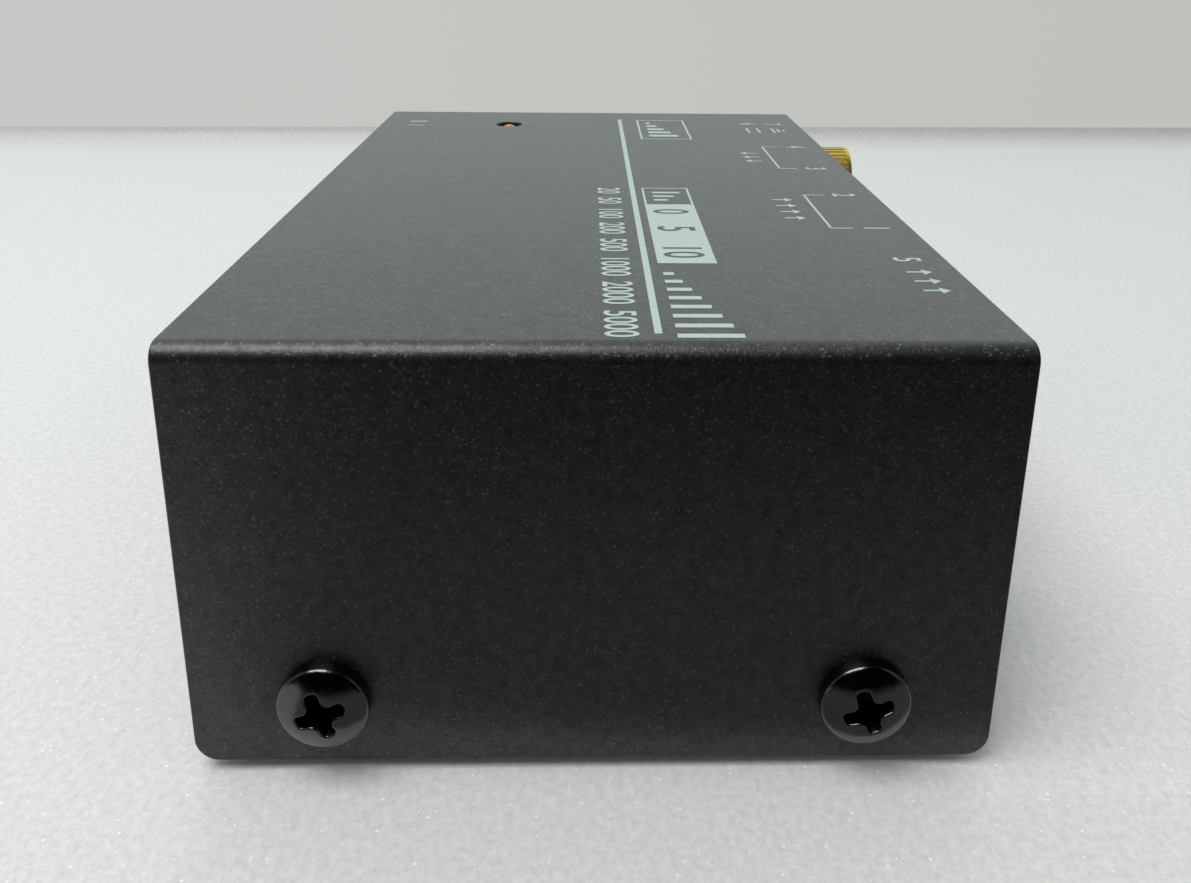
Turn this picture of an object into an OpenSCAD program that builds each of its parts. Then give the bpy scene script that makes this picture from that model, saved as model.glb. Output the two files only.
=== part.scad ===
// Phono preamplifier: a folded steel cover and tray around one circuit board, all sockets on one side.
// X runs along the case, +Y points out of the connector side and +Z points up.
// The origin is on the ground, under the middle of the whole object.
// Each module works from the case's own middle, and placed() moves it to that origin.

/* [Case] */
// Length over the cover's two end flaps
case_length = 103; // [100:1:140]
// Width of the case
case_width = 66; // [65:1:90]
// Height of the cover, from the flaps' lower edge to the top
cover_height = 37; // [36:1:50]
// Thickness of the steel sheet
sheet = 1; // [0.8:0.1:1.2]
// Outer radius of the cover's folds
cover_fold_r = 1.5; // [1.4:0.1:2.5]
// Outer radius of the tray's folds and of the flaps' lower corners
tray_fold_r = 2; // [1.6:0.1:3]
// Gap between the cover and the tray inside it
cover_gap = 0.2; // [0.1:0.05:0.4]

/* [Tray tabs] */
// Height of the tray's end tabs, which the cover screws go into
tab_height = 11; // [10:0.5:13]
// Width of the relief slits beside the tabs
relief_w = 1.5; // [1:0.1:3]

/* [Feet] */
// Diameter of a foot
foot_d = 10; // [8:1:12]
// Height of a foot
foot_height = 1; // [0.8:0.1:2]
// Distance of a foot's middle from the case's edges
foot_inset = 9; // [7:1:14]

/* [Cover screws] */
// Thread diameter of the cover screws
cover_screw_d = 4; // [3:0.5:4]
// Head diameter
cover_screw_head_d = 7.5; // [6:0.1:8]
// Head height
cover_screw_head_h = 2.3; // [1.8:0.1:2.8]
// Length under the head
cover_screw_length = 6; // [5:0.5:6]
// Distance between the two screws of one end
cover_screw_spacing = 44; // [36:1:46]
// Height of the screws over the flaps' lower edge
cover_screw_rise = 6.1; // [5.5:0.1:6.5]
// Radial room for a screw in a plain hole
screw_room = 0.15; // [0.1:0.05:0.3]
// Radial room between a thread and the part it is screwed into
thread_room = 0.05; // [0.03:0.01:0.08]

/* [Circuit board] */
// Height of the spacers under the board
spacer_height = 8.4; // [8:0.1:10]
// Distance across the spacers' flats
spacer_flats = 5.5; // [5:0.1:6]
// Distance of a spacer's middle from the end of the board
spacer_inset = 5.2; // [5:0.1:6]
// Distance of the front spacers' middle from the connector wall
spacer_front = 29; // [29:0.5:31]
// Distance of the rear spacers' middle from the rear edge of the board
spacer_rear = 3.5; // [3:0.1:5]
// Thread diameter of the board's screws and of the twin sockets' screws
small_screw_d = 3; // [2.5:0.5:3]
// Head diameter of those screws
small_screw_head_d = 5.4; // [4.5:0.1:5.6]
// Head height of those screws
small_screw_head_h = 1.8; // [1.4:0.1:2.2]
// Length of those screws under the head
small_screw_length = 6; // [5:0.5:7]
// Thickness of the board
board_t = 1.6; // [1.2:0.1:2]
// Gap between the board and the tray's end tabs
board_end_gap = 2.3; // [2:0.1:3]
// Gap between the board and the tray's long walls
board_side_gap = 0.5; // [0.4:0.1:1]
// Diameter of the solder pins of sockets and light
pin_d = 0.9; // [0.6:0.1:1]
// Length of a solder pin below the board
pin_below = 1.2; // [0.8:0.1:2]

/* [Phono sockets] */
// Distance between neighbouring sockets
rca_pitch = 14; // [14:0.5:15]
// Distance of the first output socket from the middle of the case, towards the output jack
rca_first = 19.6; // [19.2:0.1:19.8]
// Height of the sockets' axes over the board
socket_rise = 8.5; // [8:0.1:9]
// Outer diameter of a socket's metal shell
rca_shell_d = 8.3; // [8:0.1:8.4]
// Wall of the shell
rca_shell_wall = 0.55; // [0.4:0.05:0.7]
// Length of a shell in front of its flange
rca_shell_length = 8.1; // [7:0.1:9]
// Diameter of the flange behind the shell
rca_flange_d = 9.4; // [9:0.1:9.6]
// Thickness of that flange
rca_flange_t = 0.4; // [0.3:0.1:0.6]
// Diameter of the plastic collar that fills the wall's hole
rca_collar_d = 9.7; // [9.6:0.1:10]
// How far the collar stands out of the wall
rca_collar_proud = 1; // [0.5:0.1:1.5]
// Bore for the plug's pin
rca_bore_d = 3.3; // [3.2:0.1:3.4]
// How far the insulator lies behind the shell's front edge
rca_recess = 1; // [0.5:0.1:2]
// Width of a twin housing on each side of its two axes
rca_side = 6.8; // [6.5:0.1:6.8]
// Height of a twin housing over its axes
rca_above = 7.5; // [7:0.1:8]
// Depth of a twin housing
rca_depth = 10; // [9:0.5:12]
// Height of a twin housing's fixing screw over its axes
rca_screw_rise = 5.2; // [5:0.1:5.4]

/* [Output jack] */
// Distance of the jack's axis from the middle of the case
jack_x = 34.8; // [34.5:0.1:35.5]
// Bore for a 6.35 mm plug
jack_bore_d = 6.4; // [6.4:0.05:6.6]
// Outer diameter of the threaded bushing
jack_bushing_d = 9.4; // [9:0.1:9.6]
// How far the bushing stands out of the wall
jack_bushing_proud = 6; // [5:0.5:8]
// How deep the bushing sits in its housing
jack_bushing_seat = 4; // [3:0.5:5]
// Distance across the nut's flats
jack_nut_flats = 13; // [12:0.5:14]
// Thickness of the nut
jack_nut_t = 2.5; // [2:0.1:3.5]
// Diameter of the washer under the nut
jack_washer_d = 14.6; // [14:0.1:16]
// Thickness of that washer
jack_washer_t = 0.6; // [0.5:0.1:1]
// Width of the housing
jack_width = 15.4; // [15:0.1:15.6]
// Depth of the housing
jack_depth = 26; // [25:0.5:28]
// Height of the housing over its axis
jack_above = 7.9; // [7:0.1:9]
// Depth of the plug's cavity behind the bushing
jack_cavity = 18; // [17:0.5:19]

/* [Supply inlet] */
// Distance of the inlet's and the ground terminal's axes from the middle of the case, away from the jack
inlet_offset = 38; // [37:0.1:40]
// Height of the inlet's axis over the board
inlet_rise = 6.5; // [6:0.1:7]
// Bore for a 5.5 mm plug
inlet_bore_d = 6; // [5.8:0.1:6.2]
// Depth of that bore
inlet_bore_depth = 10; // [9.5:0.5:11]
// Diameter of the centre pin
inlet_pin_d = 2.1; // [1.9:0.1:2.5]
// Length of the centre pin in the bore
inlet_pin_length = 9; // [8:0.5:9.4]
// Width of the housing
inlet_width = 9; // [9:0.1:9.4]
// Depth of the housing
inlet_depth = 14; // [13:0.5:15]
// Height of the housing
inlet_height = 11; // [10.5:0.1:11.5]
// Diameter of the round nose that fills the wall's hole
inlet_nose_d = 8; // [7.6:0.1:8.4]
// How far the nose stands out of the wall
inlet_nose_proud = 0.6; // [0.2:0.1:1]

/* [Ground terminal] */
// Thread diameter of the stud
stud_d = 4; // [3:0.5:4]
// Diameter of the stud's collar on the wall
stud_collar_d = 8; // [7:0.1:9]
// Thickness of that collar
stud_collar_t = 1; // [0.8:0.1:1.5]
// Distance across the inner nut's flats
inner_nut_flats = 7; // [6:0.5:7]
// Thickness of the inner nut
inner_nut_t = 3.2; // [2.4:0.1:3.4]
// Thickness of the solder lug
lug_t = 0.5; // [0.4:0.1:0.8]
// Diameter of the washer that clamps the ground wire
ground_washer_d = 8.4; // [7.5:0.1:9]
// Thickness of that washer
ground_washer_t = 0.6; // [0.5:0.1:1]
// Diameter of the thumb nut
thumb_nut_d = 9.6; // [8:0.1:11]
// Length of the thumb nut
thumb_nut_length = 6; // [5:0.1:8]
// Number of flutes round the thumb nut
thumb_nut_flutes = 36; // [20:1:40]

/* [Power light] */
// Distance of the light from the middle of the case, away from the jack
light_x_offset = 39.2; // [38:0.1:41]
// Distance of the light from the case's middle line
light_offset = 13; // [10:0.1:14]
// Diameter of its hole in the cover
light_hole_d = 4; // [3.4:0.1:4.5]
// Diameter of its lens
light_d = 3; // [2.8:0.1:3.2]
// How far the tip of the lens lies under the top face
light_recess = 0.1; // [0:0.1:1.5]

/* [Board parts] */
// Distance between neighbouring small cans
can_pitch = 10; // [9:0.5:10]
// Diameter of a small can
can_d = 5; // [4:0.5:6]
// Height of a small can
can_h = 11; // [7:0.5:12]
// Distance of the first row of small cans from the connector wall
can_row = 30; // [29:0.5:31]
// Diameter of the reservoir can
reservoir_d = 10; // [8:0.5:10]
// Height of the reservoir can
reservoir_h = 16; // [12:0.5:18]
// Length of a film capacitor
film_l = 7.2; // [5:0.1:7.4]
// Width of a film capacitor
film_w = 2.6; // [2:0.1:3]
// Height of a film capacitor
film_h = 7; // [5:0.1:8]
// Length of a resistor's body
resistor_l = 6.2; // [5:0.1:7]
// Diameter of a resistor's body
resistor_d = 2.2; // [1.6:0.1:2.4]
// Distance between the rows of resistors
resistor_row = 4; // [3.5:0.1:4.5]
// Length of an operational amplifier's body
op_amp_l = 9.6; // [9:0.1:10]
// Width of an operational amplifier's body
op_amp_w = 6.4; // [6:0.1:6.6]
// Height of an operational amplifier's body
op_amp_h = 3.3; // [3:0.1:3.6]
// Distance of the operational amplifiers' middle from the connector wall
op_amp_row = 18; // [16:0.5:19]
// Width of the voltage regulator
regulator_w = 10; // [9:0.1:10.4]
// Thickness of the voltage regulator
regulator_t = 4.5; // [4:0.1:4.8]
// Height of the voltage regulator's body
regulator_h = 9; // [8:0.1:9.5]
// Distance of the voltage regulator's front from the connector wall
regulator_row = 22; // [20:0.5:22]
// Distance of the supply diode's axis from the rear edge of the board
diode_rear = 8.7; // [8.5:0.1:9.5]

/* [Hidden] */
$fn = 64;

// Main planes of the case
half_l = case_length / 2;
half_w = case_width / 2;
base_z = foot_height;
top_z = base_z + cover_height;
wall_y = half_w - sheet;
tray_half_l = half_l - sheet - cover_gap;
tray_top_z = top_z - sheet - cover_gap;
floor_z = base_z + sheet;
cut = 1; // how far a cutting shape runs past what it cuts

// Cover screws
cover_screw_z = base_z + cover_screw_rise;
collar_wall = 1; // wall of the drawn collar round a tab's thread
collar_depth = 1.2; // depth of that collar

// Circuit board
board_half_l = tray_half_l - sheet - board_end_gap;
board_front = wall_y - board_side_gap;
board_rear = -wall_y + board_side_gap;
board_bottom_z = floor_z + spacer_height;
board_top_z = board_bottom_z + board_t;
spacer_x = board_half_l - spacer_inset;
spacer_places = [for (sx = [-1, 1], y = [wall_y - spacer_front, board_rear + spacer_rear])
    [sx * spacer_x, y]];
pin_r = pin_d / 2;
pin_room = 0.1; // radial room for a solder pin in its hole
pin_end_z = board_bottom_z - pin_below;
pin_off = pin_r + 0.05; // distance of a solder pin's axis from the housing face it runs down

// Phono sockets
socket_z = board_top_z + socket_rise;
rca_x = [for (i = [0:3]) rca_first - i * rca_pitch];
output_x = (rca_x[0] + rca_x[1]) / 2;
input_x = (rca_x[2] + rca_x[3]) / 2;
fit_gap = 0.05; // radial gap between pieces pushed into each other
wall_gap = 0.15; // radial gap between a collar and the wall's hole
shell_r = rca_shell_d / 2;
shell_bore_r = shell_r - rca_shell_wall;
tongue_w = 2.4; // width of the tongue from the shell back to its solder pin
tongue_t = 0.4; // thickness of that tongue
tongue_z = -shell_bore_r - fit_gap; // top of the tongue, below the socket's axis
collar_y = half_w + rca_collar_proud;
flange_y = collar_y + rca_flange_t;
reach_y = flange_y + rca_shell_length;
insulator_depth = 5; // depth of the insulator and of the contact's bore behind the wall
insulator_rear_y = wall_y - insulator_depth;
shell_pin_depth = 3; // depth of the shell's solder pin behind the wall
shell_pin_y = wall_y - shell_pin_depth;
contact_wall = 0.5; // wall of the centre contact
contact_r = rca_bore_d / 2 + contact_wall;
contact_front_y = wall_y - 2 * contact_wall;
contact_base = 1.4; // thickness of the contact's closed end
contact_rear_y = insulator_rear_y - contact_base;
contact_pin_y = contact_rear_y + contact_base / 2; // place of the contact's solder pin
housing_bore_y = contact_rear_y - contact_wall; // end of the housing's bore

// Output jack
jack_bore_r = jack_bore_d / 2;
jack_seat_y = wall_y - jack_bushing_seat;
jack_rear_y = wall_y - jack_depth;
jack_front_y = half_w + jack_bushing_proud;
spring_t = 0.4; // thickness of a contact spring
spring_w = 2.4; // width of a contact spring
spring_room = 0.1; // room round a spring in its slot
blade_gap = 0.15; // a blade's gap to the plug
cavity_room = 0.3; // radial room round the plug behind the bushing
spring_root = 2; // how far a solder pin runs up its spring
ring_depth = 17; // depth of the ring spring's leg behind the wall
ring_length = 7; // length of its blade
sleeve_depth = 9; // depth of the sleeve contact's leg behind the wall
sleeve_length = 4.5; // length of its blade
tip_depth = 19; // depth of the tip spring's front end behind the wall
ring_blade = [wall_y - ring_depth, wall_y - ring_depth + ring_length];
sleeve_blade = [wall_y - sleeve_depth, wall_y - sleeve_depth + sleeve_length];
tip_blade_front = wall_y - tip_depth;

// Supply inlet
inlet_x = -inlet_offset;
inlet_z = board_top_z + inlet_rise;
inlet_bore_r = inlet_bore_d / 2;
inlet_front_y = half_w + inlet_nose_proud;
inlet_bore_y = inlet_front_y - inlet_bore_depth;
inlet_rear_y = wall_y - inlet_depth;
inlet_pin_r = inlet_pin_d / 2;
pin_base_r = inlet_pin_r + 0.25; // the centre pin is thicker where the housing holds it
inlet_blade_depth = 7; // depth of the sleeve spring's leg behind the wall
inlet_blade_length = 6; // length of its blade
inlet_blade = [wall_y - inlet_blade_depth, wall_y - inlet_blade_depth + inlet_blade_length];

// Ground terminal
ground_x = inlet_x;
ground_z = (board_top_z + inlet_height + top_z - sheet) / 2; // midway between the inlet and the cover
stud_r = stud_d / 2;
washer_y = half_w + stud_collar_t;
nut_y = washer_y + ground_washer_t;
stud_end = 0.3; // how far the stud stands out of the closed thumb nut
lug_y = wall_y - lug_t;
inner_nut_y = lug_y - inner_nut_t;
stud_proud = 1.5; // how far the stud stands out of the inner nut
stud_rear_y = inner_nut_y - stud_proud;
lug_reach = 6.6; // length of the lug's tongue from the stud's axis
lug_w = 2.4; // width of the tongue
lead_r = 0.6; // radius of the ground lead
lead_bend_r = 1.5; // radius of the lead's bend, on its middle line

// Power light
light_x = -light_x_offset;
light_r = light_d / 2;
light_tip_z = top_z - light_recess;
light_body_h = 3.4; // straight part of the lens, over its flange
light_flange_r = light_r + 0.4;
light_flange_h = 0.8;
light_base_z = light_tip_z - light_r - light_body_h - light_flange_h;
light_spacer_r = 2.4;
lead_pitch = 2.54;
light_lead_r = 0.28;

// Board parts
leg_w = 0.5; // width of a package's leg
leg_t = 0.25; // thickness of a package's leg
leg_stand = 0.6; // height of a package over the board
groove_z = 1.6; // height of a can's rolled groove
groove_r = 0.35;
rim_h = 0.3; // depth of the pressed top of a can
rim_w = 0.6;
lead_reach = 2; // length of a bent lead beside a body
thin_lead_r = 0.3;
diode_l = 5.2;
diode_r = 1.35;
regulator_leg = 3; // height of the regulator's body over the board
regulator_tab_h = 6; // height of its tab over its body
regulator_tab_t = 1.3;
tab_hole_r = 1.8;

// Room between the bounding box's middle and the case's middle
middle_y = -(reach_y - half_w) / 2;

// Moves a piece from the case's middle to the origin
module placed() {
    translate([0, middle_y, 0]) children();
}

// Round bar along +Y
module bar_y(r, from, to) {
    translate([0, from, 0]) rotate([-90, 0, 0]) cylinder(h = to - from, r = r);
}

// Round bar along +Z
module bar_z(r, from, to) {
    translate([0, 0, from]) cylinder(h = to - from, r = r);
}

// Ring along +Y
module ring_y(r_out, r_in, from, to) {
    difference() {
        bar_y(r_out, from, to);
        bar_y(r_in, from - cut, to + cut);
    }
}

// Box given by its lowest and highest corners
module box(low, high) {
    translate(low) cube(high - low);
}

// Section through a folded sheet: a run to the left of the fold and a rise above it
module fold(run, rise, r) {
    translate([-run, 0]) square([run - r, sheet]);
    translate([-sheet, r]) square([sheet, rise - r]);
    translate([-r, r]) intersection() {
        difference() {
            circle(r);
            circle(r - sheet);
        }
        translate([0, -r]) square(r);
    }
}

// Section through a sheet folded up on both sides
module channel(half_run, rise, r) {
    for (side = [0, 1]) mirror([side, 0]) translate([half_run, 0]) fold(half_run, rise, r);
}

// Outline of a flap, with its two lower corners rounded
module flap_outline() {
    translate([-half_w, tray_fold_r]) square([case_width, cover_height]);
    translate([tray_fold_r - half_w, 0]) square([case_width - 2 * tray_fold_r, cover_height]);
    for (s = [-1, 1]) translate([s * (half_w - tray_fold_r), tray_fold_r]) circle(tray_fold_r);
}

// Repeats a shape, which points along +X, at the four cover screws
module at_cover_screws() {
    for (turn = [0, 180], s = [-1, 1]) rotate([0, 0, turn])
        translate([half_l, s * cover_screw_spacing / 2, cover_screw_z]) rotate([0, 90, 0]) children();
}

// Folded cover: the top and the two end flaps
module cover() {
    color("#2c2d2d") placed() difference() {
        intersection() {
            rotate([90, 0, 0]) linear_extrude(case_width, center = true)
                translate([0, top_z]) mirror([0, 1]) channel(half_l, cover_height, cover_fold_r);
            rotate([90, 0, 90]) linear_extrude(case_length, center = true)
                translate([0, base_z]) flap_outline();
        }
        at_cover_screws() bar_z(cover_screw_d / 2 + screw_room, -sheet - cut, cut);
        translate([light_x, -light_offset, 0]) bar_z(light_hole_d / 2, top_z - sheet - cut, top_z + cut);
    }
}

// Holes of the connector wall
module wall_holes() {
    for (x = rca_x) translate([x, 0, socket_z])
        bar_y(rca_collar_d / 2 + wall_gap, wall_y - cut, half_w + cut);
    for (x = [output_x, input_x]) translate([x, 0, socket_z + rca_screw_rise])
        bar_y(small_screw_d / 2 + screw_room, wall_y - cut, half_w + cut);
    translate([jack_x, 0, socket_z]) bar_y(jack_bushing_d / 2 + wall_gap, wall_y - cut, half_w + cut);
    translate([inlet_x, 0, inlet_z]) bar_y(inlet_nose_d / 2 + wall_gap, wall_y - cut, half_w + cut);
    translate([ground_x, 0, ground_z]) bar_y(stud_r + screw_room, wall_y - cut, half_w + cut);
}

// Folded tray: the floor, the two long walls and a threaded tab at each end
module tray() {
    tab_run = tray_fold_r + relief_w;
    tab_half_w = half_w - tray_fold_r - relief_w;
    color("#232424") placed() difference() {
        union() {
            difference() {
                rotate([90, 0, 90]) linear_extrude(2 * tray_half_l, center = true)
                    translate([0, base_z]) channel(half_w, tray_top_z - base_z, tray_fold_r);
                for (turn = [0, 180]) rotate([0, 0, turn])
                    box([tray_half_l - tab_run, tray_fold_r - half_w, base_z - cut],
                        [tray_half_l + cut, half_w - tray_fold_r, floor_z + cut]);
            }
            for (turn = [0, 180]) rotate([0, 0, turn])
                translate([tray_half_l, 0, base_z]) rotate([90, 0, 0])
                    linear_extrude(2 * tab_half_w, center = true) fold(tab_run, tab_height, tray_fold_r);
            at_cover_screws() bar_z(cover_screw_d / 2 + thread_room + collar_wall,
                tray_half_l - half_l - sheet - collar_depth, tray_half_l - half_l - sheet / 2);
        }
        at_cover_screws() bar_z(cover_screw_d / 2 + thread_room,
            tray_half_l - half_l - sheet - collar_depth - cut, tray_half_l - half_l + cut);
        wall_holes();
    }
}

// Pan head screw along Z, with its seat at zero and a cross recess in its domed head
module pan_screw(d, length, head_d, head_h) {
    rim_h = head_h * 0.55;
    dome_r = (pow(head_d / 2, 2) + pow(head_h - rim_h, 2)) / (2 * (head_h - rim_h));
    recess_w = head_d * 0.14;
    recess_l = head_d * 0.56;
    difference() {
        union() {
            bar_z(d / 2, -length, head_h / 4);
            intersection() {
                bar_z(head_d / 2, 0, head_h);
                translate([0, 0, head_h - dome_r]) sphere(dome_r);
            }
        }
        for (turn = [0, 90]) rotate([0, 0, turn])
            box([-recess_l / 2, -recess_w / 2, head_h * 0.35], [recess_l / 2, recess_w / 2, head_h + cut]);
    }
}

module cover_screws() {
    color("#141414") placed() at_cover_screws()
        pan_screw(cover_screw_d, cover_screw_length, cover_screw_head_d, cover_screw_head_h);
}

// Die-cut rubber discs under the tray
module feet() {
    color("#1a1a1a") placed() for (sx = [-1, 1], sy = [-1, 1])
        translate([sx * (half_l - foot_inset), sy * (half_w - foot_inset), 0])
            bar_z(foot_d / 2, 0, foot_height);
}

// Places of the solder pins that go through the board
module at_pin_holes() {
    for (x = rca_x, y = [shell_pin_y, contact_pin_y]) translate([x, y, 0]) children();
    translate([jack_x, jack_rear_y - pin_off, 0]) children();
    for (side_blade = [[-1, ring_blade[0]], [1, sleeve_blade[0]]])
        translate([jack_x + side_blade[0] * (jack_width / 2 + pin_off), side_blade[1] + spring_w / 2, 0])
            children();
    translate([inlet_x, inlet_rear_y - pin_off, 0]) children();
    translate([inlet_x + inlet_width / 2 + pin_off, inlet_blade[0] + spring_w / 2, 0]) children();
    for (s = [-1, 1]) translate([light_x, -light_offset + s * lead_pitch / 2, 0]) children();
    translate([ground_x + lug_reach, lug_y - lead_bend_r - lead_r, 0]) children();
}

module circuit_board() {
    color("#1f5b38") placed() difference() {
        box([-board_half_l, board_rear, board_bottom_z], [board_half_l, board_front, board_top_z]);
        for (place = spacer_places) translate(place)
            bar_z(small_screw_d / 2 + screw_room, board_bottom_z - cut, board_top_z + cut);
        at_pin_holes() bar_z(max(pin_r, lead_r) + pin_room, board_bottom_z - cut, board_top_z + cut);
    }
}

// Hexagonal threaded spacers, pressed into the tray's floor
module board_spacers() {
    color("#b9bcbf") placed() for (place = spacer_places) translate(place) difference() {
        translate([0, 0, floor_z]) cylinder(h = spacer_height, d = spacer_flats / cos(30), $fn = 6);
        bar_z(small_screw_d / 2 + thread_room, floor_z - cut, board_bottom_z + cut);
    }
}

module board_screws() {
    color("#c8c9cb") placed() for (place = spacer_places) translate([place[0], place[1], board_top_z])
        pan_screw(small_screw_d, small_screw_length, small_screw_head_d, small_screw_head_h);
}

// Twin phono socket's moulded housing, with two collars through the wall
module rca_housing(middle_x) {
    slot_half_w = tongue_w / 2 + fit_gap;
    color("#1c1c1d") placed() translate([middle_x, 0, 0]) difference() {
        union() {
            box([-rca_pitch / 2 - rca_side, wall_y - rca_depth, board_top_z],
                [rca_pitch / 2 + rca_side, wall_y, socket_z + rca_above]);
            for (s = [-1, 1]) translate([s * rca_pitch / 2, 0, socket_z])
                bar_y(rca_collar_d / 2, wall_y - cut, collar_y);
        }
        for (s = [-1, 1]) translate([s * rca_pitch / 2, 0, 0]) {
            translate([0, 0, socket_z]) {
                bar_y(shell_bore_r, housing_bore_y, collar_y + cut);
                box([-slot_half_w, shell_pin_y - slot_half_w, tongue_z - tongue_t - fit_gap],
                    [slot_half_w, collar_y + cut, 0]);
            }
            for (y = [shell_pin_y, contact_pin_y])
                translate([0, y, 0]) bar_z(pin_r + pin_room, board_top_z - cut, socket_z);
        }
        translate([0, 0, socket_z + rca_screw_rise])
            bar_y(small_screw_d / 2 + thread_room, wall_y - small_screw_length, wall_y + cut);
    }
}

module output_rca_housing() { rca_housing(output_x); }
module input_rca_housing() { rca_housing(input_x); }

// Plated outer contact: a tube with a flange, and a tongue back to its solder pin
module rca_shell(x) {
    color("#c9c6bf") placed() translate([x, 0, 0]) {
        translate([0, 0, socket_z]) {
            difference() {
                union() {
                    bar_y(rca_flange_d / 2, collar_y, flange_y);
                    bar_y(shell_r, flange_y, reach_y);
                }
                bar_y(shell_bore_r, collar_y - cut, reach_y + cut);
            }
            box([-tongue_w / 2, shell_pin_y - tongue_w / 2, tongue_z - tongue_t],
                [tongue_w / 2, collar_y + rca_flange_t / 2, tongue_z]);
        }
        translate([0, shell_pin_y, 0]) bar_z(pin_r, pin_end_z, socket_z + tongue_z - tongue_t / 2);
    }
}

module output_right_shell() { rca_shell(rca_x[0]); }
module output_left_shell() { rca_shell(rca_x[1]); }
module input_right_shell() { rca_shell(rca_x[2]); }
module input_left_shell() { rca_shell(rca_x[3]); }

// Coloured insulator that fills the shell: red on the right channel, white on the left
module rca_insulator(x, tint) {
    color(tint) placed() translate([x, 0, socket_z]) difference() {
        bar_y(shell_bore_r - fit_gap, insulator_rear_y, reach_y - rca_recess);
        bar_y(rca_bore_d / 2, contact_front_y - cut, reach_y);
        bar_y(contact_r + fit_gap, insulator_rear_y - cut, contact_front_y);
    }
}

module output_right_insulator() { rca_insulator(rca_x[0], "#b3201c"); }
module output_left_insulator() { rca_insulator(rca_x[1], "#ece9e2"); }
module input_right_insulator() { rca_insulator(rca_x[2], "#b3201c"); }
module input_left_insulator() { rca_insulator(rca_x[3], "#ece9e2"); }

// Centre contacts: a cup behind each bore, and a solder pin
module rca_centre_contacts() {
    color("#c9b27a") placed() for (x = rca_x) translate([x, 0, 0]) {
        translate([0, 0, socket_z]) difference() {
            bar_y(contact_r, contact_rear_y, contact_front_y);
            bar_y(rca_bore_d / 2, insulator_rear_y, contact_front_y + cut);
        }
        translate([0, contact_pin_y, 0]) bar_z(pin_r, pin_end_z, socket_z - contact_r + contact_wall);
    }
}

module rca_panel_screws() {
    color("#18181a") placed() for (x = [output_x, input_x])
        translate([x, half_w, socket_z + rca_screw_rise]) rotate([-90, 0, 0])
            pan_screw(small_screw_d, small_screw_length, small_screw_head_d, small_screw_head_h);
}

// Contact spring beside a socket: a blade along the plug, an arm out of the slot and a leg to the board.
// It stands to the +X side of the socket's axis, or to the other side where side is -1.
module side_spring(side, axis_z, plug_r, body_half_w, blade) {
    inner = plug_r + blade_gap;
    mirror([side < 0 ? 1 : 0, 0, 0]) {
        box([inner, blade[0], axis_z - spring_w / 2], [inner + spring_t, blade[1], axis_z + spring_w / 2]);
        box([inner, blade[0], axis_z - spring_w / 2],
            [body_half_w + spring_t, blade[0] + spring_t, axis_z + spring_w / 2]);
        box([body_half_w, blade[0], board_top_z],
            [body_half_w + spring_t, blade[0] + spring_w, axis_z + spring_w / 2]);
        translate([body_half_w + pin_off, blade[0] + spring_w / 2, 0])
            bar_z(pin_r, pin_end_z, board_top_z + spring_root);
    }
}

// Slot in a housing for such a spring
module side_slot(side, axis_z, body_half_w, blade) {
    half = spring_w / 2 + spring_room;
    mirror([side < 0 ? 1 : 0, 0, 0])
        box([0, blade[0] - spring_room, axis_z - half],
            [body_half_w + cut, blade[1] + spring_room, axis_z + half]);
}

// Output jack's moulded housing: a seat for the bushing, the plug's cavity and three spring slots
module jack_housing() {
    half = spring_w / 2 + spring_room;
    slot_z = socket_z + jack_bore_r + blade_gap + spring_t + spring_room;
    color("#1c1c1d") placed() translate([jack_x, 0, 0]) difference() {
        box([-jack_width / 2, jack_rear_y, board_top_z], [jack_width / 2, wall_y, socket_z + jack_above]);
        translate([0, 0, socket_z]) {
            bar_y(jack_bushing_d / 2 + fit_gap, jack_seat_y, wall_y + cut);
            bar_y(jack_bore_r + cavity_room, jack_seat_y - jack_cavity, wall_y);
        }
        box([-half, jack_rear_y - cut, socket_z], [half, tip_blade_front + spring_room, slot_z]);
        side_slot(-1, socket_z, jack_width / 2, ring_blade);
        side_slot(1, socket_z, jack_width / 2, sleeve_blade);
    }
}

module jack_bushing() {
    color("#c9c6bf") placed() translate([jack_x, 0, socket_z])
        ring_y(jack_bushing_d / 2, jack_bore_r, jack_seat_y, jack_front_y);
}

module jack_washer() {
    color("#b9bcbf") placed() translate([jack_x, 0, socket_z])
        ring_y(jack_washer_d / 2, jack_bushing_d / 2 + wall_gap, half_w, half_w + jack_washer_t);
}

// Hexagonal nut with its outer corners chamfered
module jack_nut() {
    corner_r = jack_nut_flats / cos(30) / 2;
    nut_front = half_w + jack_washer_t;
    color("#1c1c1d") placed() translate([jack_x, nut_front, socket_z]) rotate([-90, 0, 0]) difference() {
        intersection() {
            cylinder(h = jack_nut_t, r = corner_r, $fn = 6);
            cylinder(h = jack_nut_t, r1 = corner_r + jack_nut_t, r2 = corner_r - 0.5);
        }
        bar_z(jack_bushing_d / 2 + thread_room, -cut, jack_nut_t + cut);
    }
}

// Tip spring: a blade over the plug's tip, out through the rear wall and down to the board
module jack_tip_spring() {
    low = socket_z + jack_bore_r + blade_gap;
    color("#c9b27a") placed() translate([jack_x, 0, 0]) {
        box([-spring_w / 2, jack_rear_y - spring_t, low], [spring_w / 2, tip_blade_front, low + spring_t]);
        box([-spring_w / 2, jack_rear_y - spring_t, board_top_z],
            [spring_w / 2, jack_rear_y, low + spring_t]);
        translate([0, jack_rear_y - pin_off, 0]) bar_z(pin_r, pin_end_z, board_top_z + spring_root);
    }
}

module jack_ring_spring() {
    color("#c9b27a") placed() translate([jack_x, 0, 0])
        side_spring(-1, socket_z, jack_bore_r, jack_width / 2, ring_blade);
}

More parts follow.
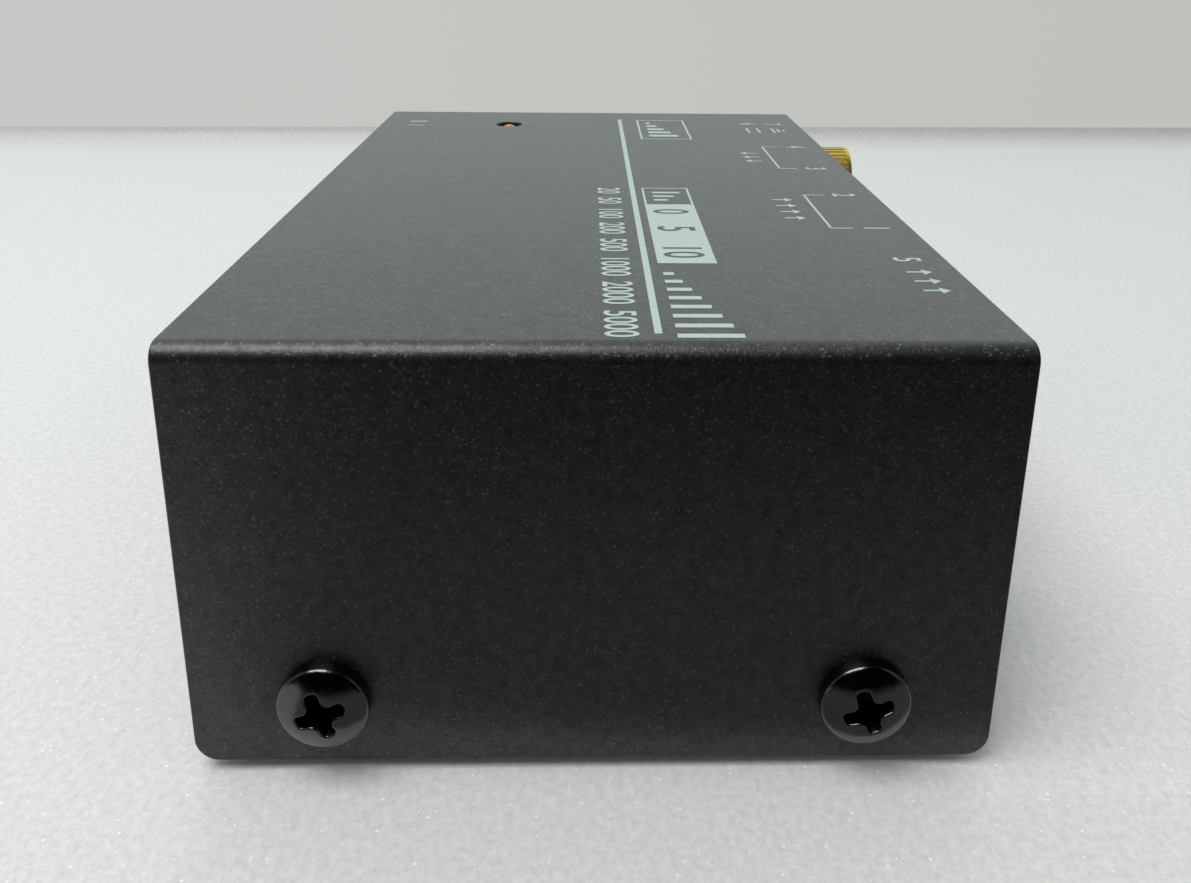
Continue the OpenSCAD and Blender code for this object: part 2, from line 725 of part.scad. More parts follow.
module jack_sleeve_contact() {
    color("#c9b27a") placed() translate([jack_x, 0, 0])
        side_spring(1, socket_z, jack_bore_r, jack_width / 2, sleeve_blade);
}

// Supply inlet's moulded housing, with a round nose through the wall
module inlet_housing() {
    color("#171718") placed() translate([inlet_x, 0, 0]) difference() {
        union() {
            box([-inlet_width / 2, inlet_rear_y, board_top_z],
                [inlet_width / 2, wall_y, board_top_z + inlet_height]);
            translate([0, 0, inlet_z]) bar_y(inlet_nose_d / 2, wall_y - cut, inlet_front_y);
        }
        translate([0, 0, inlet_z]) {
            bar_y(inlet_bore_r, inlet_bore_y, inlet_front_y + cut);
            bar_y(pin_base_r + fit_gap, inlet_rear_y - cut, inlet_bore_y + cut);
        }
        side_slot(1, inlet_z, inlet_width / 2, inlet_blade);
    }
}

module inlet_centre_pin() {
    color("#c9c6bf") placed() translate([inlet_x, 0, 0]) {
        translate([0, 0, inlet_z]) {
            bar_y(inlet_pin_r, inlet_bore_y, inlet_bore_y + inlet_pin_length);
            bar_y(pin_base_r, inlet_rear_y - 3 * pin_r, inlet_bore_y);
        }
        translate([0, inlet_rear_y - pin_off, 0]) bar_z(pin_r, pin_end_z, inlet_z);
    }
}

module inlet_sleeve_spring() {
    color("#c9b27a") placed() translate([inlet_x, 0, 0])
        side_spring(1, inlet_z, inlet_bore_r - blade_gap, inlet_width / 2, inlet_blade);
}

// Ground stud: threaded both ways from a collar that bears on the wall
module ground_stud() {
    color("#c29b3f") placed() translate([ground_x, 0, ground_z]) {
        bar_y(stud_r, stud_rear_y, nut_y + thumb_nut_length + stud_end);
        bar_y(stud_collar_d / 2, half_w, washer_y);
    }
}

module ground_inner_nut() {
    color("#b9bcbf") placed() translate([ground_x, inner_nut_y, ground_z]) rotate([-90, 0, 0]) difference() {
        cylinder(h = inner_nut_t, d = inner_nut_flats / cos(30), $fn = 6);
        bar_z(stud_r + thread_room, -cut, inner_nut_t + cut);
    }
}

// Solder lug: a ring on the stud and a tongue beside it
module ground_solder_lug() {
    color("#b9bcbf") placed() translate([ground_x, 0, ground_z]) difference() {
        union() {
            bar_y(inner_nut_flats / 2, lug_y, wall_y);
            box([0, lug_y, -lug_w / 2], [lug_reach, wall_y, lug_w / 2]);
            translate([lug_reach, 0, 0]) bar_y(lug_w / 2, lug_y, wall_y);
        }
        bar_y(stud_r + thread_room, lug_y - cut, wall_y + cut);
    }
}

// Ground lead: from the lug's tongue, round one bend and straight down through the board
module ground_lead() {
    color("#2e8b3d") placed() translate([ground_x + lug_reach, lug_y - lead_bend_r - lead_r, 0]) {
        translate([0, lead_bend_r, ground_z - lead_bend_r]) rotate([90, 0, -90])
            rotate_extrude(angle = 90) translate([lead_bend_r, 0]) circle(lead_r);
        bar_z(lead_r, pin_end_z, ground_z - lead_bend_r);
        translate([0, 0, ground_z]) bar_y(lead_r, lead_bend_r, lead_bend_r + lead_r);
    }
}

module ground_washer() {
    color("#c29b3f") placed() translate([ground_x, 0, ground_z])
        ring_y(ground_washer_d / 2, stud_r + thread_room, washer_y, nut_y);
}

// Thumb nut: a fluted grip with a plain lip at each end
module ground_thumb_nut() {
    lip = 0.7;
    flute_r = 0.3;
    grip_r = thumb_nut_d / 2;
    color("#c29b3f") placed() translate([ground_x, nut_y, ground_z]) rotate([-90, 0, 0]) difference() {
        union() {
            bar_z(grip_r - flute_r, 0, thumb_nut_length);
            translate([0, 0, lip]) linear_extrude(thumb_nut_length - 2 * lip) difference() {
                circle(grip_r);
                for (i = [1:thumb_nut_flutes]) rotate(i * 360 / thumb_nut_flutes)
                    translate([grip_r + flute_r / 3, 0]) circle(flute_r, $fn = 16);
            }
        }
        bar_z(stud_r + thread_room, -cut, thumb_nut_length + cut);
    }
}

// Light-emitting diode with a domed lens and a flange
module power_light() {
    color("#c4661f") placed() translate([light_x, -light_offset, 0]) {
        bar_z(light_flange_r, light_base_z, light_base_z + light_flange_h);
        bar_z(light_r, light_base_z, light_tip_z - light_r);
        translate([0, 0, light_tip_z - light_r]) sphere(light_r);
    }
}

// Moulded spacer that holds the light up to the cover
module light_spacer() {
    color("#202021") placed() translate([light_x, -light_offset, 0]) difference() {
        bar_z(light_spacer_r, board_top_z, light_base_z);
        for (s = [-1, 1]) translate([0, s * lead_pitch / 2, 0])
            bar_z(light_lead_r + fit_gap, board_top_z - cut, light_base_z + cut);
    }
}

module light_leads() {
    color("#b9bcbf") placed() translate([light_x, -light_offset, 0]) for (s = [-1, 1])
        translate([0, s * lead_pitch / 2, 0]) bar_z(light_lead_r, pin_end_z, light_base_z);
}

// Dual operational amplifiers in eight-pin packages
module op_amps() {
    color("#1b1b1c") placed() for (x = [output_x, input_x])
    translate([x, wall_y - op_amp_row, board_top_z]) {
        box([-op_amp_l / 2, -op_amp_w / 2, leg_stand], [op_amp_l / 2, op_amp_w / 2, leg_stand + op_amp_h]);
        for (i = [-1.5:1:1.5], s = [-1, 1]) translate([i * lead_pitch, s * op_amp_w / 2, 0])
            box([-leg_w / 2, -leg_t, 0], [leg_w / 2, leg_t, leg_stand + op_amp_h / 2]);
    }
}

// Can with a rolled groove near its foot and a pressed rim at its top
module can(r, h) {
    color("#23262b") rotate_extrude() difference() {
        square([r, h]);
        translate([r + groove_r / 2, groove_z]) circle(groove_r, $fn = 24);
        translate([0, h - rim_h]) square([r - rim_w, cut]);
    }
}

module electrolytic_capacitors() {
    for (i = [-2:3], row = [0, 1]) placed()
        translate([i * can_pitch, wall_y - can_row - row * can_pitch, board_top_z]) can(can_d / 2, can_h);
}

// Film capacitors between the two rows of cans
module film_capacitors() {
    color("#8d2f23") placed() for (i = [-2:3])
        translate([(i + 0.5) * can_pitch, wall_y - can_row - can_pitch / 2, board_top_z])
            box([-film_l / 2, -film_w / 2, 0], [film_l / 2, film_w / 2, film_h]);
}

// Part with its leads on its axis, lying on the board between two bent leads
module axial_part(body_l, body_r, lead_r) {
    half_span = body_l / 2 + lead_reach;
    translate([-body_l / 2, 0, body_r]) rotate([0, 90, 0]) cylinder(h = body_l, r = body_r);
    translate([-half_span, 0, body_r]) rotate([0, 90, 0]) cylinder(h = 2 * half_span, r = lead_r);
    for (s = [-1, 1]) translate([s * half_span, 0, 0]) bar_z(lead_r, 0, body_r);
}

// Three rows of resistors behind the cans
module resistors() {
    column = 2 * (resistor_l / 2 + lead_reach) + 3 * thin_lead_r;
    color("#b99b6b") placed() for (i = [-1.5:1:2.5], row = [1:3])
        translate([i * column, wall_y - can_row - can_pitch - can_d / 2 - row * resistor_row, board_top_z])
            axial_part(resistor_l, resistor_d / 2, thin_lead_r);
}

// Voltage regulator standing on three legs, with its metal tab behind it
module voltage_regulator() {
    body_top = regulator_leg + regulator_h;
    tab_top = body_top + regulator_tab_h;
    color("#26262a") placed()
    translate([inlet_x + regulator_w, wall_y - regulator_row, board_top_z]) difference() {
        union() {
            box([-regulator_w / 2, 0, regulator_leg], [regulator_w / 2, regulator_t, body_top]);
            box([-regulator_w / 2, regulator_t - regulator_tab_t, regulator_leg],
                [regulator_w / 2, regulator_t, tab_top]);
            for (i = [-1:1]) translate([i * lead_pitch, regulator_t / 2, 0])
                box([-leg_w, -leg_t, 0], [leg_w, leg_t, regulator_leg + leg_stand]);
        }
        translate([0, 0, body_top + regulator_tab_h / 2]) bar_y(tab_hole_r, -cut, regulator_t + cut);
    }
}

module reservoir_capacitor() {
    reservoir_y = wall_y - regulator_row - reservoir_d - regulator_t / 2;
    placed() translate([inlet_x + regulator_w, reservoir_y, board_top_z]) can(reservoir_d / 2, reservoir_h);
}

// Diode in the supply line, behind the light
module supply_diode() {
    color("#2a2a2c") placed() translate([light_x + diode_l / 2, board_rear + diode_rear, board_top_z])
        axial_part(diode_l, diode_r, pin_r / 2);
}

cover();
tray();
cover_screws();
feet();
circuit_board();
board_spacers();
board_screws();
output_rca_housing();
input_rca_housing();
output_right_shell();
output_left_shell();
input_right_shell();
input_left_shell();
output_right_insulator();
output_left_insulator();
input_right_insulator();
input_left_insulator();
rca_centre_contacts();
rca_panel_screws();
jack_housing();
jack_bushing();
jack_nut();
jack_washer();
jack_tip_spring();
jack_ring_spring();
jack_sleeve_contact();
inlet_housing();
inlet_centre_pin();
inlet_sleeve_spring();
ground_stud();
ground_inner_nut();
ground_solder_lug();
ground_lead();
ground_washer();
ground_thumb_nut();
power_light();
light_spacer();
light_leads();
op_amps();
electrolytic_capacitors();
film_capacitors();
resistors();
voltage_regulator();
reservoir_capacitor();
supply_diode();
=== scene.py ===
from math import cos, pi, radians, sin, sqrt

import bmesh
import bpy
from mathutils import Matrix, Vector


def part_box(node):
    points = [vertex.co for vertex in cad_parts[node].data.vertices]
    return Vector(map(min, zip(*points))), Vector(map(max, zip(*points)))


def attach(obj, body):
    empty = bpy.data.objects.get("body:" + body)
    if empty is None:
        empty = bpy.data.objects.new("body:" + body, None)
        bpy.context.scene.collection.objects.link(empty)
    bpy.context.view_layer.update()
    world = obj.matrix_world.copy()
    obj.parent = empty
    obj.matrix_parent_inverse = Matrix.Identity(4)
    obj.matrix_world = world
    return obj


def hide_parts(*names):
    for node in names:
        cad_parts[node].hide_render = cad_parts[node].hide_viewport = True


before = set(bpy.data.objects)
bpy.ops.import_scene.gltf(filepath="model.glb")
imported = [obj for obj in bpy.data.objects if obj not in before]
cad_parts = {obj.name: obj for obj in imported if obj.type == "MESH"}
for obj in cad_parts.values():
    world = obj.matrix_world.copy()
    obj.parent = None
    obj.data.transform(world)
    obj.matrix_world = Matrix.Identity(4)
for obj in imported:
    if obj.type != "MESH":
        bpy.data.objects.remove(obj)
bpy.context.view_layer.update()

scene = bpy.context.scene
mm = 0.001

# Camera. A hand-held phone camera with a wide lens, close to one short end of the case and a little above it,
# looking down its length.
camera_place = Vector((121.47, -5.92, 67.19)) * mm
camera_yaw, camera_pitch, camera_roll = (radians(angle) for angle in (1.403, 16.298, 0.658))
ahead = Vector((-cos(camera_yaw) * cos(camera_pitch), sin(camera_yaw) * cos(camera_pitch), -sin(camera_pitch)))
level = Vector((sin(camera_yaw), cos(camera_yaw), 0))
upward = level.cross(ahead)
right = level * cos(camera_roll) + upward * sin(camera_roll)
up = upward * cos(camera_roll) - level * sin(camera_roll)
camera_data = bpy.data.cameras.new("camera")
camera_data.lens = 31.04
camera_data.sensor_width = 36
camera_data.shift_x, camera_data.shift_y = -0.0104, -0.1754
camera_data.clip_start, camera_data.clip_end = 0.005, 6.8
camera = bpy.data.objects.new("camera", camera_data)
camera.matrix_world = Matrix.Translation(camera_place) @ Matrix((right, up, -ahead)).transposed().to_4x4()
scene.collection.objects.link(camera)
scene.camera = camera

# Cover. One 1 mm steel sheet, folded down at both ends over the tray, and powder-coated charcoal black.
# The press leaves 1.5 mm folds, the flaps' lower corners are rounded, and the coat rounds every cut edge.
sheet = 1.0 * mm
fold_radius = 1.5 * mm
flap_corner = 2.0 * mm
coat_edge = 0.18 * mm
light_hole_radius = 2.0 * mm
screw_hole_radius = 2.15 * mm
ink = 0.02 * mm
weld = 0.0005 * mm


def middle(node):
    """The middle of a CAD node's box."""
    return [(low + high) / 2 for low, high in zip(*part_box(node))]


cover_low, cover_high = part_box("cover")
case_y = middle("cover")[1]
cover_top = cover_high.z - ink


def srgb(code):
    """The linear colour of an sRGB hex value."""
    parts = [int(code[i:i + 2], 16) / 255 for i in (1, 3, 5)]
    return (*[p / 12.92 if p <= 0.04045 else ((p + 0.055) / 1.055) ** 2.4 for p in parts], 1)


def add(tree, kind, settings, inputs):
    """Adds a node with its settings, and gives each input a value or a link."""
    node = tree.nodes.new(kind)
    for name, value in settings.items():
        setattr(node, name, value)
    for name, value in inputs.items():
        if isinstance(value, bpy.types.NodeSocket):
            tree.links.new(value, node.inputs[name])
        else:
            node.inputs[name].default_value = value
    return node


def start_finish(name, sockets):
    """A new material, its node tree, its shader with those socket values, and the piece's own coordinates."""
    material = bpy.data.materials.new(name)
    material.use_nodes = True
    tree = material.node_tree
    shader = tree.nodes["Principled BSDF"]
    for socket, value in sockets.items():
        shader.inputs[socket].default_value = value
    return material, tree, shader, add(tree, "ShaderNodeTexCoord", {}, {}).outputs["Object"]


def link_finish(tree, shader, colour, roughness, normal):
    """Links what varies over a surface to its shader."""
    tree.links.new(colour, shader.inputs["Base Color"])
    tree.links.new(roughness, shader.inputs["Roughness"])
    tree.links.new(normal, shader.inputs["Normal"])


# Powder coat: fine sand texture, satin. The eye gets low, soft glints from the grains, a grey sheen at a flat angle,
# and faint uneven pale flecks up to 0.4 mm long that mirror more, whose paler colour is partly painted glint, between
# small patches of thicker coat.
powder_coat, tree, shader, place = start_finish("satin_powder_coat_charcoal", {"IOR": 1.65})
grain = add(tree, "ShaderNodeTexNoise", {},
            {"Vector": place, "Scale": 1 / (0.24 * mm), "Detail": 3.0, "Roughness": 0.6})
patches = add(tree, "ShaderNodeTexNoise", {},
              {"Vector": place, "Scale": 1 / (1.1 * mm), "Detail": 5.0, "Roughness": 0.75})
wander = add(tree, "ShaderNodeVectorMath", {"operation": "MULTIPLY_ADD"},
             {0: grain.outputs["Color"], 1: (0.7 * mm,) * 3, 2: place})
cells = add(tree, "ShaderNodeTexVoronoi", {}, {"Vector": wander.outputs[0], "Scale": 1 / (0.34 * mm)})
cell_value = add(tree, "ShaderNodeSeparateColor", {}, {"Color": cells.outputs["Color"]})
chosen = add(tree, "ShaderNodeMapRange", {}, {"Value": cell_value.outputs["Red"], "From Min": 0.45, "From Max": 1.0})
centre = add(tree, "ShaderNodeMapRange", {}, {"Value": cells.outputs["Distance"], "From Min": 0.05, "From Max": 0.45,
                                              "To Min": 1.0, "To Max": 0.0})
fleck = add(tree, "ShaderNodeMath", {"operation": "MULTIPLY"}, {0: chosen.outputs[0], 1: centre.outputs[0]})
ground = add(tree, "ShaderNodeMix", {"data_type": "RGBA"},
             {0: patches.outputs["Fac"], 6: srgb("#000000"), 7: srgb("#141413")})
# Partly painted glint: the flecks are lightened in the colour, and they also mirror more through the specular level
# below.
coat = add(tree, "ShaderNodeMix", {"data_type": "RGBA"},
           {0: fleck.outputs[0], 6: ground.outputs[2], 7: srgb("#383836")})
gloss = add(tree, "ShaderNodeMapRange", {}, {"Value": grain.outputs["Fac"], "From Min": 0.3, "From Max": 0.7,
                                             "To Min": 0.36, "To Max": 0.46})
relief = add(tree, "ShaderNodeMath", {"operation": "MULTIPLY_ADD"},
             {0: fleck.outputs[0], 1: 0.8, 2: grain.outputs["Fac"]})
bump = add(tree, "ShaderNodeBump", {}, {"Height": relief.outputs[0], "Distance": 0.022 * mm})
smooth = add(tree, "ShaderNodeMapRange", {}, {"Value": patches.outputs["Fac"], "From Min": 0.3, "From Max": 0.7,
                                              "To Min": 0.37, "To Max": 0.61})
glint = add(tree, "ShaderNodeMath", {"operation": "MULTIPLY_ADD"},
            {0: fleck.outputs[0], 1: 0.8, 2: smooth.outputs[0]})
tree.links.new(glint.outputs[0], shader.inputs["Specular IOR Level"])
link_finish(tree, shader, coat.outputs[2], gloss.outputs[0], bump.outputs["Normal"])


def in_order(bm):
    """The same shape with its corners and faces in a fixed order, so that a cut comes out the same each time."""
    corners = sorted(bm.verts, key=lambda vert: tuple(vert.co))
    for number, vert in enumerate(corners):
        vert.index = number
    rings = []
    for face in bm.faces:
        ring = [vert.index for vert in face.verts]
        first = ring.index(min(ring))
        rings.append(ring[first:] + ring[:first])
    same = bmesh.new()
    placed = [same.verts.new(vert.co) for vert in corners]
    for ring in sorted(rings):
        same.faces.new([placed[number] for number in ring])
    same.normal_update()
    bm.free()
    return same


def carve(body, *tools):
    """Cuts closed tool shapes out of a closed body, and returns what is left."""
    things = []
    for shape in map(in_order, (body, *tools)):
        mesh = bpy.data.meshes.new("carve")
        shape.to_mesh(mesh)
        shape.free()
        things.append(bpy.data.objects.new("carve", mesh))
        scene.collection.objects.link(things[-1])
    for tool in things[1:]:
        cut = things[0].modifiers.new("cut", "BOOLEAN")
        cut.object, cut.solver = tool, "EXACT"
    bpy.context.view_layer.update()
    left = bmesh.new()
    left.from_mesh(things[0].evaluated_get(bpy.context.evaluated_depsgraph_get()).to_mesh())
    for thing in things:
        mesh = thing.data
        bpy.data.objects.remove(thing)
        bpy.data.meshes.remove(mesh)
    return in_order(left)


def clean(bm):
    """Joins corners that meet, and the flat faces between them."""
    bmesh.ops.remove_doubles(bm, verts=bm.verts, dist=weld)
    bmesh.ops.dissolve_limit(bm, angle_limit=radians(0.5), verts=bm.verts, edges=bm.edges)


def round_off(bm, parts, width, steps, affect="EDGES", clamp=False):
    """Rounds edges or corners off over a width."""
    bmesh.ops.bevel(bm, geom=parts, offset=width, offset_type="OFFSET", segments=steps, profile=0.5,
                    affect=affect, clamp_overlap=clamp, material=-1)


def ease(bm, width, steps=2, sharper_than=35):
    """Rounds the sharp edges of a closed body."""
    clean(bm)
    sharp = [edge for edge in bm.edges if edge.calc_face_angle(0) > radians(sharper_than)]
    round_off(bm, sharp, width, steps, clamp=True)
    return bm


def corners_in(parts):
    """The corners among the parts that an operator made."""
    return [part for part in parts if isinstance(part, bmesh.types.BMVert)]


def settle(bm, name, finish, body, slot, *nodes):
    """Makes a piece of a shape, and says what it rides on, what its finish is and which nodes it stands for."""
    mesh = bpy.data.meshes.new(name)
    bm.to_mesh(mesh)
    bm.free()
    mesh.shade_smooth()
    mesh.set_sharp_from_angle(angle=radians(50))
    mesh.materials.append(finish)
    piece = bpy.data.objects.new(name, mesh)
    scene.collection.objects.link(piece)
    piece.modifiers.new("weigh_normals", "WEIGHTED_NORMAL").keep_sharp = True
    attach(piece, body)
    if nodes:
        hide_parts(*nodes)
    return piece


def rod(radius, start, end):
    """A closed round rod between two points."""
    bm = bmesh.new()
    run = Vector(end) - Vector(start)
    turn = run.to_track_quat("Z", "Y").to_matrix().to_4x4()
    bmesh.ops.create_cone(bm, cap_ends=True, segments=48, radius1=radius, radius2=radius, depth=run.length,
                          matrix=Matrix.Translation((Vector(start) + Vector(end)) / 2) @ turn)
    return bm


cover = bmesh.new()
outline = [cover.verts.new((x, cover_low.y, z)) for x, z in (
    (cover_low.x, cover_low.z), (cover_low.x, cover_top), (cover_high.x, cover_top), (cover_high.x, cover_low.z))]
run = [cover.edges.new(pair) for pair in zip(outline, outline[1:])]
drawn = bmesh.ops.extrude_edge_only(cover, edges=run)["geom"]
bmesh.ops.translate(cover, verts=corners_in(drawn), vec=(0, cover_high.y - cover_low.y, 0))
round_off(cover, [edge for edge in cover.edges if len(edge.link_faces) == 2], fold_radius, 10)
lowest = cover_low.z + 0.01 * mm
round_off(cover, [vert for vert in cover.verts if vert.co.z < lowest], flap_corner, 8, affect="VERTICES")
bmesh.ops.recalc_face_normals(cover, faces=cover.faces)
top_face = max(cover.faces, key=lambda face: face.calc_center_median().z)
if top_face.normal.z < 0:
    bmesh.ops.reverse_faces(cover, faces=cover.faces)
bmesh.ops.solidify(cover, geom=cover.faces[:], thickness=sheet)
light_low, light_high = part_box("power_light")
light_x, light_y = middle("power_light")[:2]
screw_low, screw_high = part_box("cover_screws")
screw_z = middle("cover_screws")[2]
screw_head_radius = (screw_high.z - screw_low.z) / 2
screw_places = [(side * cover_high.x, y, screw_z) for side in (1, -1)
                for y in (screw_low.y + screw_head_radius, screw_high.y - screw_head_radius)]
holes = [rod(light_hole_radius, (light_x, light_y, cover_top - 3 * sheet), (light_x, light_y, cover_top + sheet))]
holes += [rod(screw_hole_radius, (x - 2 * sheet, y, z), (x + 2 * sheet, y, z)) for x, y, z in screw_places]
cover = ease(carve(cover, *holes), coat_edge, steps=3)
settle(cover, "folded_cover", powder_coat, "case", "powder_coat", "cover")

# Top print. Pale grey-green ink, screen-printed on the coat: a rule, a scale of plain numbers, a level scale in a
# box, and the sockets' plain numbers, brackets and arrows.
numbers_width = 0.78
near_end = cover_high.x

# Matt screen ink: a thin chalky film, a little mottled, that lies just above the coat and hides it.
screen_ink, tree, shader, place = start_finish("matt_screen_ink_pale_grey", {"IOR": 1.48})
mottle = add(tree, "ShaderNodeTexNoise", {}, {"Vector": place, "Scale": 1 / (0.35 * mm), "Detail": 3.0})
tint = add(tree, "ShaderNodeMix", {"data_type": "RGBA"},
           {0: mottle.outputs["Fac"], 6: srgb("#93A09A"), 7: srgb("#ACB9B3")})
dull = add(tree, "ShaderNodeMapRange", {}, {"Value": mottle.outputs["Fac"], "To Min": 0.5, "To Max": 0.7})
bump = add(tree, "ShaderNodeBump", {}, {"Height": mottle.outputs["Fac"], "Distance": 0.01 * mm})
link_finish(tree, shader, tint.outputs[2], dull.outputs[0], bump.outputs["Normal"])

top_print = bmesh.new()


def on_top(depth, lateral, z=cover_top + ink / 2):
    """A point of the print, from its depth behind the near end and its distance from the middle line, in mm."""
    return Vector((near_end - depth * mm, case_y + lateral * mm, z))


def ink_bar(depths, laterals):
    """A printed bar between two depths and two distances from the middle line."""
    low, high = on_top(max(depths), min(laterals)), on_top(min(depths), max(laterals))
    size = high - low
    bmesh.ops.create_cube(top_print, size=1, matrix=Matrix.Translation((low + high) / 2)
                          @ Matrix.Diagonal((size.x, size.y, ink, 1)))


def ink_shape(points):
    """A printed flat shape with straight sides, given by its corners in depth and distance."""
    face = top_print.faces.new([top_print.verts.new(on_top(*point, cover_top)) for point in points])
    if face.normal.z < 0:
        face.normal_flip()
    raised = bmesh.ops.extrude_face_region(top_print, geom=[face])["geom"]
    bmesh.ops.translate(top_print, verts=corners_in(raised), vec=(0, 0, ink))


def ink_number(text, depth, lateral, height, into=top_print, thick=ink):
    """A printed number, from the depth of its left side, and the distance and height of its figures."""
    curve = bpy.data.curves.new("number", "FONT")
    curve.body, curve.size, curve.extrude, curve.offset = text, 1, 0.5, 0.012
    thing = bpy.data.objects.new("number", curve)
    mesh = bpy.data.meshes.new_from_object(thing)
    tall = max(vert.co.y for vert in mesh.vertices)
    scale = height * mm / tall
    mesh.transform(Matrix.Translation(on_top(depth, lateral))
                   @ Matrix.Diagonal((scale * numbers_width, scale, thick, 1)))
    into.from_mesh(mesh)
    bpy.data.objects.remove(thing)
    bpy.data.curves.remove(curve)
    bpy.data.meshes.remove(mesh)


def ink_arrow(depth, lateral, tall, outward):
    """A small printed arrow across the case, pointing out of the sockets' side or into it."""
    half_line, half_head, head_long = 0.16, 0.75, 0.9
    tip, tail = (lateral + tall, lateral) if outward else (lateral, lateral + tall)
    neck = tip + (-head_long if outward else head_long)
    ink_bar((depth - half_line, depth + half_line), (neck, tail))
    ink_shape([(depth - half_head, neck), (depth + half_head, neck), (depth, tip)])


def ink_row(numbers, depths, lateral, height, into=top_print, thick=ink):
    """A row of printed numbers, spread evenly from the far depth to the near one."""
    figure_share = 0.62
    figure = figure_share * height * numbers_width
    spare = depths[1] - depths[0] - figure * sum(len(number) for number in numbers)
    start = depths[1]
    for number in numbers:
        ink_number(number, start, lateral, height, into, thick)
        start -= figure * len(number) + spare / (len(numbers) - 1)


def ink_frame(depths, laterals, line):
    """A printed outline of a rectangle."""
    for lateral in (laterals[0], laterals[1] - line):
        ink_bar(depths, (lateral, lateral + line))
    for depth in (depths[0], depths[1] - line):
        ink_bar((depth, depth + line), (laterals[0] + line, laterals[1] - line))


def join(shape, whole):
    """Moves a shape into another one."""
    mesh = bpy.data.meshes.new("part")
    shape.to_mesh(mesh)
    shape.free()
    whole.from_mesh(mesh)
    bpy.data.meshes.remove(mesh)


ink_bar((2.6, 95.3), (4.25, 4.85))
ink_row(("20", "50", "100", "200", "500", "1000", "2000", "5000"), (2.6, 48.9), 0.5, 2.6)
ink_frame((41.0, 48.9), (5.65, 11.15), 0.25)
for step in range(3):
    ink_bar((42.9 + 1.7 * step, 43.6 + 1.7 * step), (6.8, 8.4 + 0.8 * step))
plate, figures = bmesh.new(), bmesh.new()
bmesh.ops.create_cube(plate, size=1, matrix=Matrix.Translation(on_top(30.45, 8.4))
                      @ Matrix.Diagonal((21.1 * mm, 5.5 * mm, ink, 1)))
ink_row(("0", "5", "10"), (22.0, 39.2), 6.5, 3.8, figures, 2 * ink)
bmesh.ops.remove_doubles(figures, verts=figures.verts, dist=weld)
join(carve(plate, figures), top_print)
for step in range(8):
    ink_bar((17.3 - 2.1 * step, 16.5 - 2.1 * step), (5.95, 6.9 + 0.6 * step))
for pair, marks, left, tips, arrows in (("output", ("2", "1"), 24.35, 26.75, (43.6, 41.0, 38.4, 35.8)),
                                        ("input", ("4", "3"), 24.1, 26.5, (69.4, 66.9, 64.4))):
    near, far = ((near_end - middle(pair + side)[0]) / mm for side in ("_right_shell", "_left_shell"))
    ink_bar((near, far), (left, left + 0.28))
    for depth, mark in ((far, marks[0]), (near, marks[1])):
        ink_bar((depth - 0.14, depth + 0.14), (left, tips))
        ink_number(mark, depth + 0.8, tips + 1.2, 2.6)
    for depth in arrows:
        ink_arrow(depth, 20.4, 2.3, pair == "output")
ink_number("5", 22.0, 28.0, 2.5)
for depth in (17.6, 15.1, 12.6):
    ink_arrow(depth, 28.0, 2.4, True)
ink_number("6", 92.8, 23.8, 2.5)
ink_number("7", 92.8, 27.7, 2.5)
ink_bar((84.6, 88.4), (24.0, 24.35))
ink_bar((84.6, 88.4), (25.6, 25.95))
for step in range(3):
    ink_bar((84.6 + 0.65 * step, 88.4 - 0.65 * step), (27.9 + 0.8 * step, 28.25 + 0.8 * step))
ink_row(("0", "1"), (88.6, 93.2), -28.7, 2.6)
ink_frame((79.1, 94.8), (7.2, 14.8), 0.3)
for step in range(5):
    ink_bar((81.1 + 2.6 * step, 82.5 + 2.6 * step), (8.6, 12.9 - 0.9 * step))
settle(top_print, "top_print", screen_ink, "case", "screen_ink")

# Tray. The same coated steel sheet, folded up along both long sides, with a tab turned up at each end that the
# cover screws go into. Its connector wall is punched for the sockets.


def merged_copy(node):
    """A CAD solid's shape as a closed body, with its loose triangles joined."""
    bm = bmesh.new()
    bm.from_mesh(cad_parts[node].data)
    bmesh.ops.remove_doubles(bm, verts=bm.verts, dist=weld)
    return bm


settle(ease(merged_copy("tray"), 0.12 * mm), "folded_tray", powder_coat, "case", "powder_coat", "tray")

# Cover screws. M4 pan heads, cold-formed steel with a glossy black zinc finish, two in each end of the cover.
# The domed head has a straight rim, and the cross recess narrows to its bottom.
screw_head_height = screw_high.x - cover_high.x
screw_rim = 1.2 * mm
screw_shank, screw_long = 2 * mm, 6 * mm
screw_turns = (21, 20, 40, -22)

# Glossy black zinc: a dark metal that mirrors the room a little unevenly, with a faint haze.
black_zinc, tree, shader, place = start_finish("glossy_black_zinc", {"Metallic": 1.0})
haze = add(tree, "ShaderNodeTexNoise", {},
           {"Vector": place, "Scale": 1 / (0.7 * mm), "Detail": 5.0, "Roughness": 0.7})
depth_of_black = add(tree, "ShaderNodeMix", {"data_type": "RGBA"},
                     {0: haze.outputs["Fac"], 6: srgb("#4E4D4D"), 7: srgb("#616060")})
shine = add(tree, "ShaderNodeMapRange", {}, {"Value": haze.outputs["Fac"], "From Min": 0.3, "From Max": 0.7,
                                             "To Min": 0.13, "To Max": 0.24})
bump = add(tree, "ShaderNodeBump", {}, {"Height": haze.outputs["Fac"], "Distance": 0.004 * mm})
link_finish(tree, shader, depth_of_black.outputs[2], shine.outputs[0], bump.outputs["Normal"])


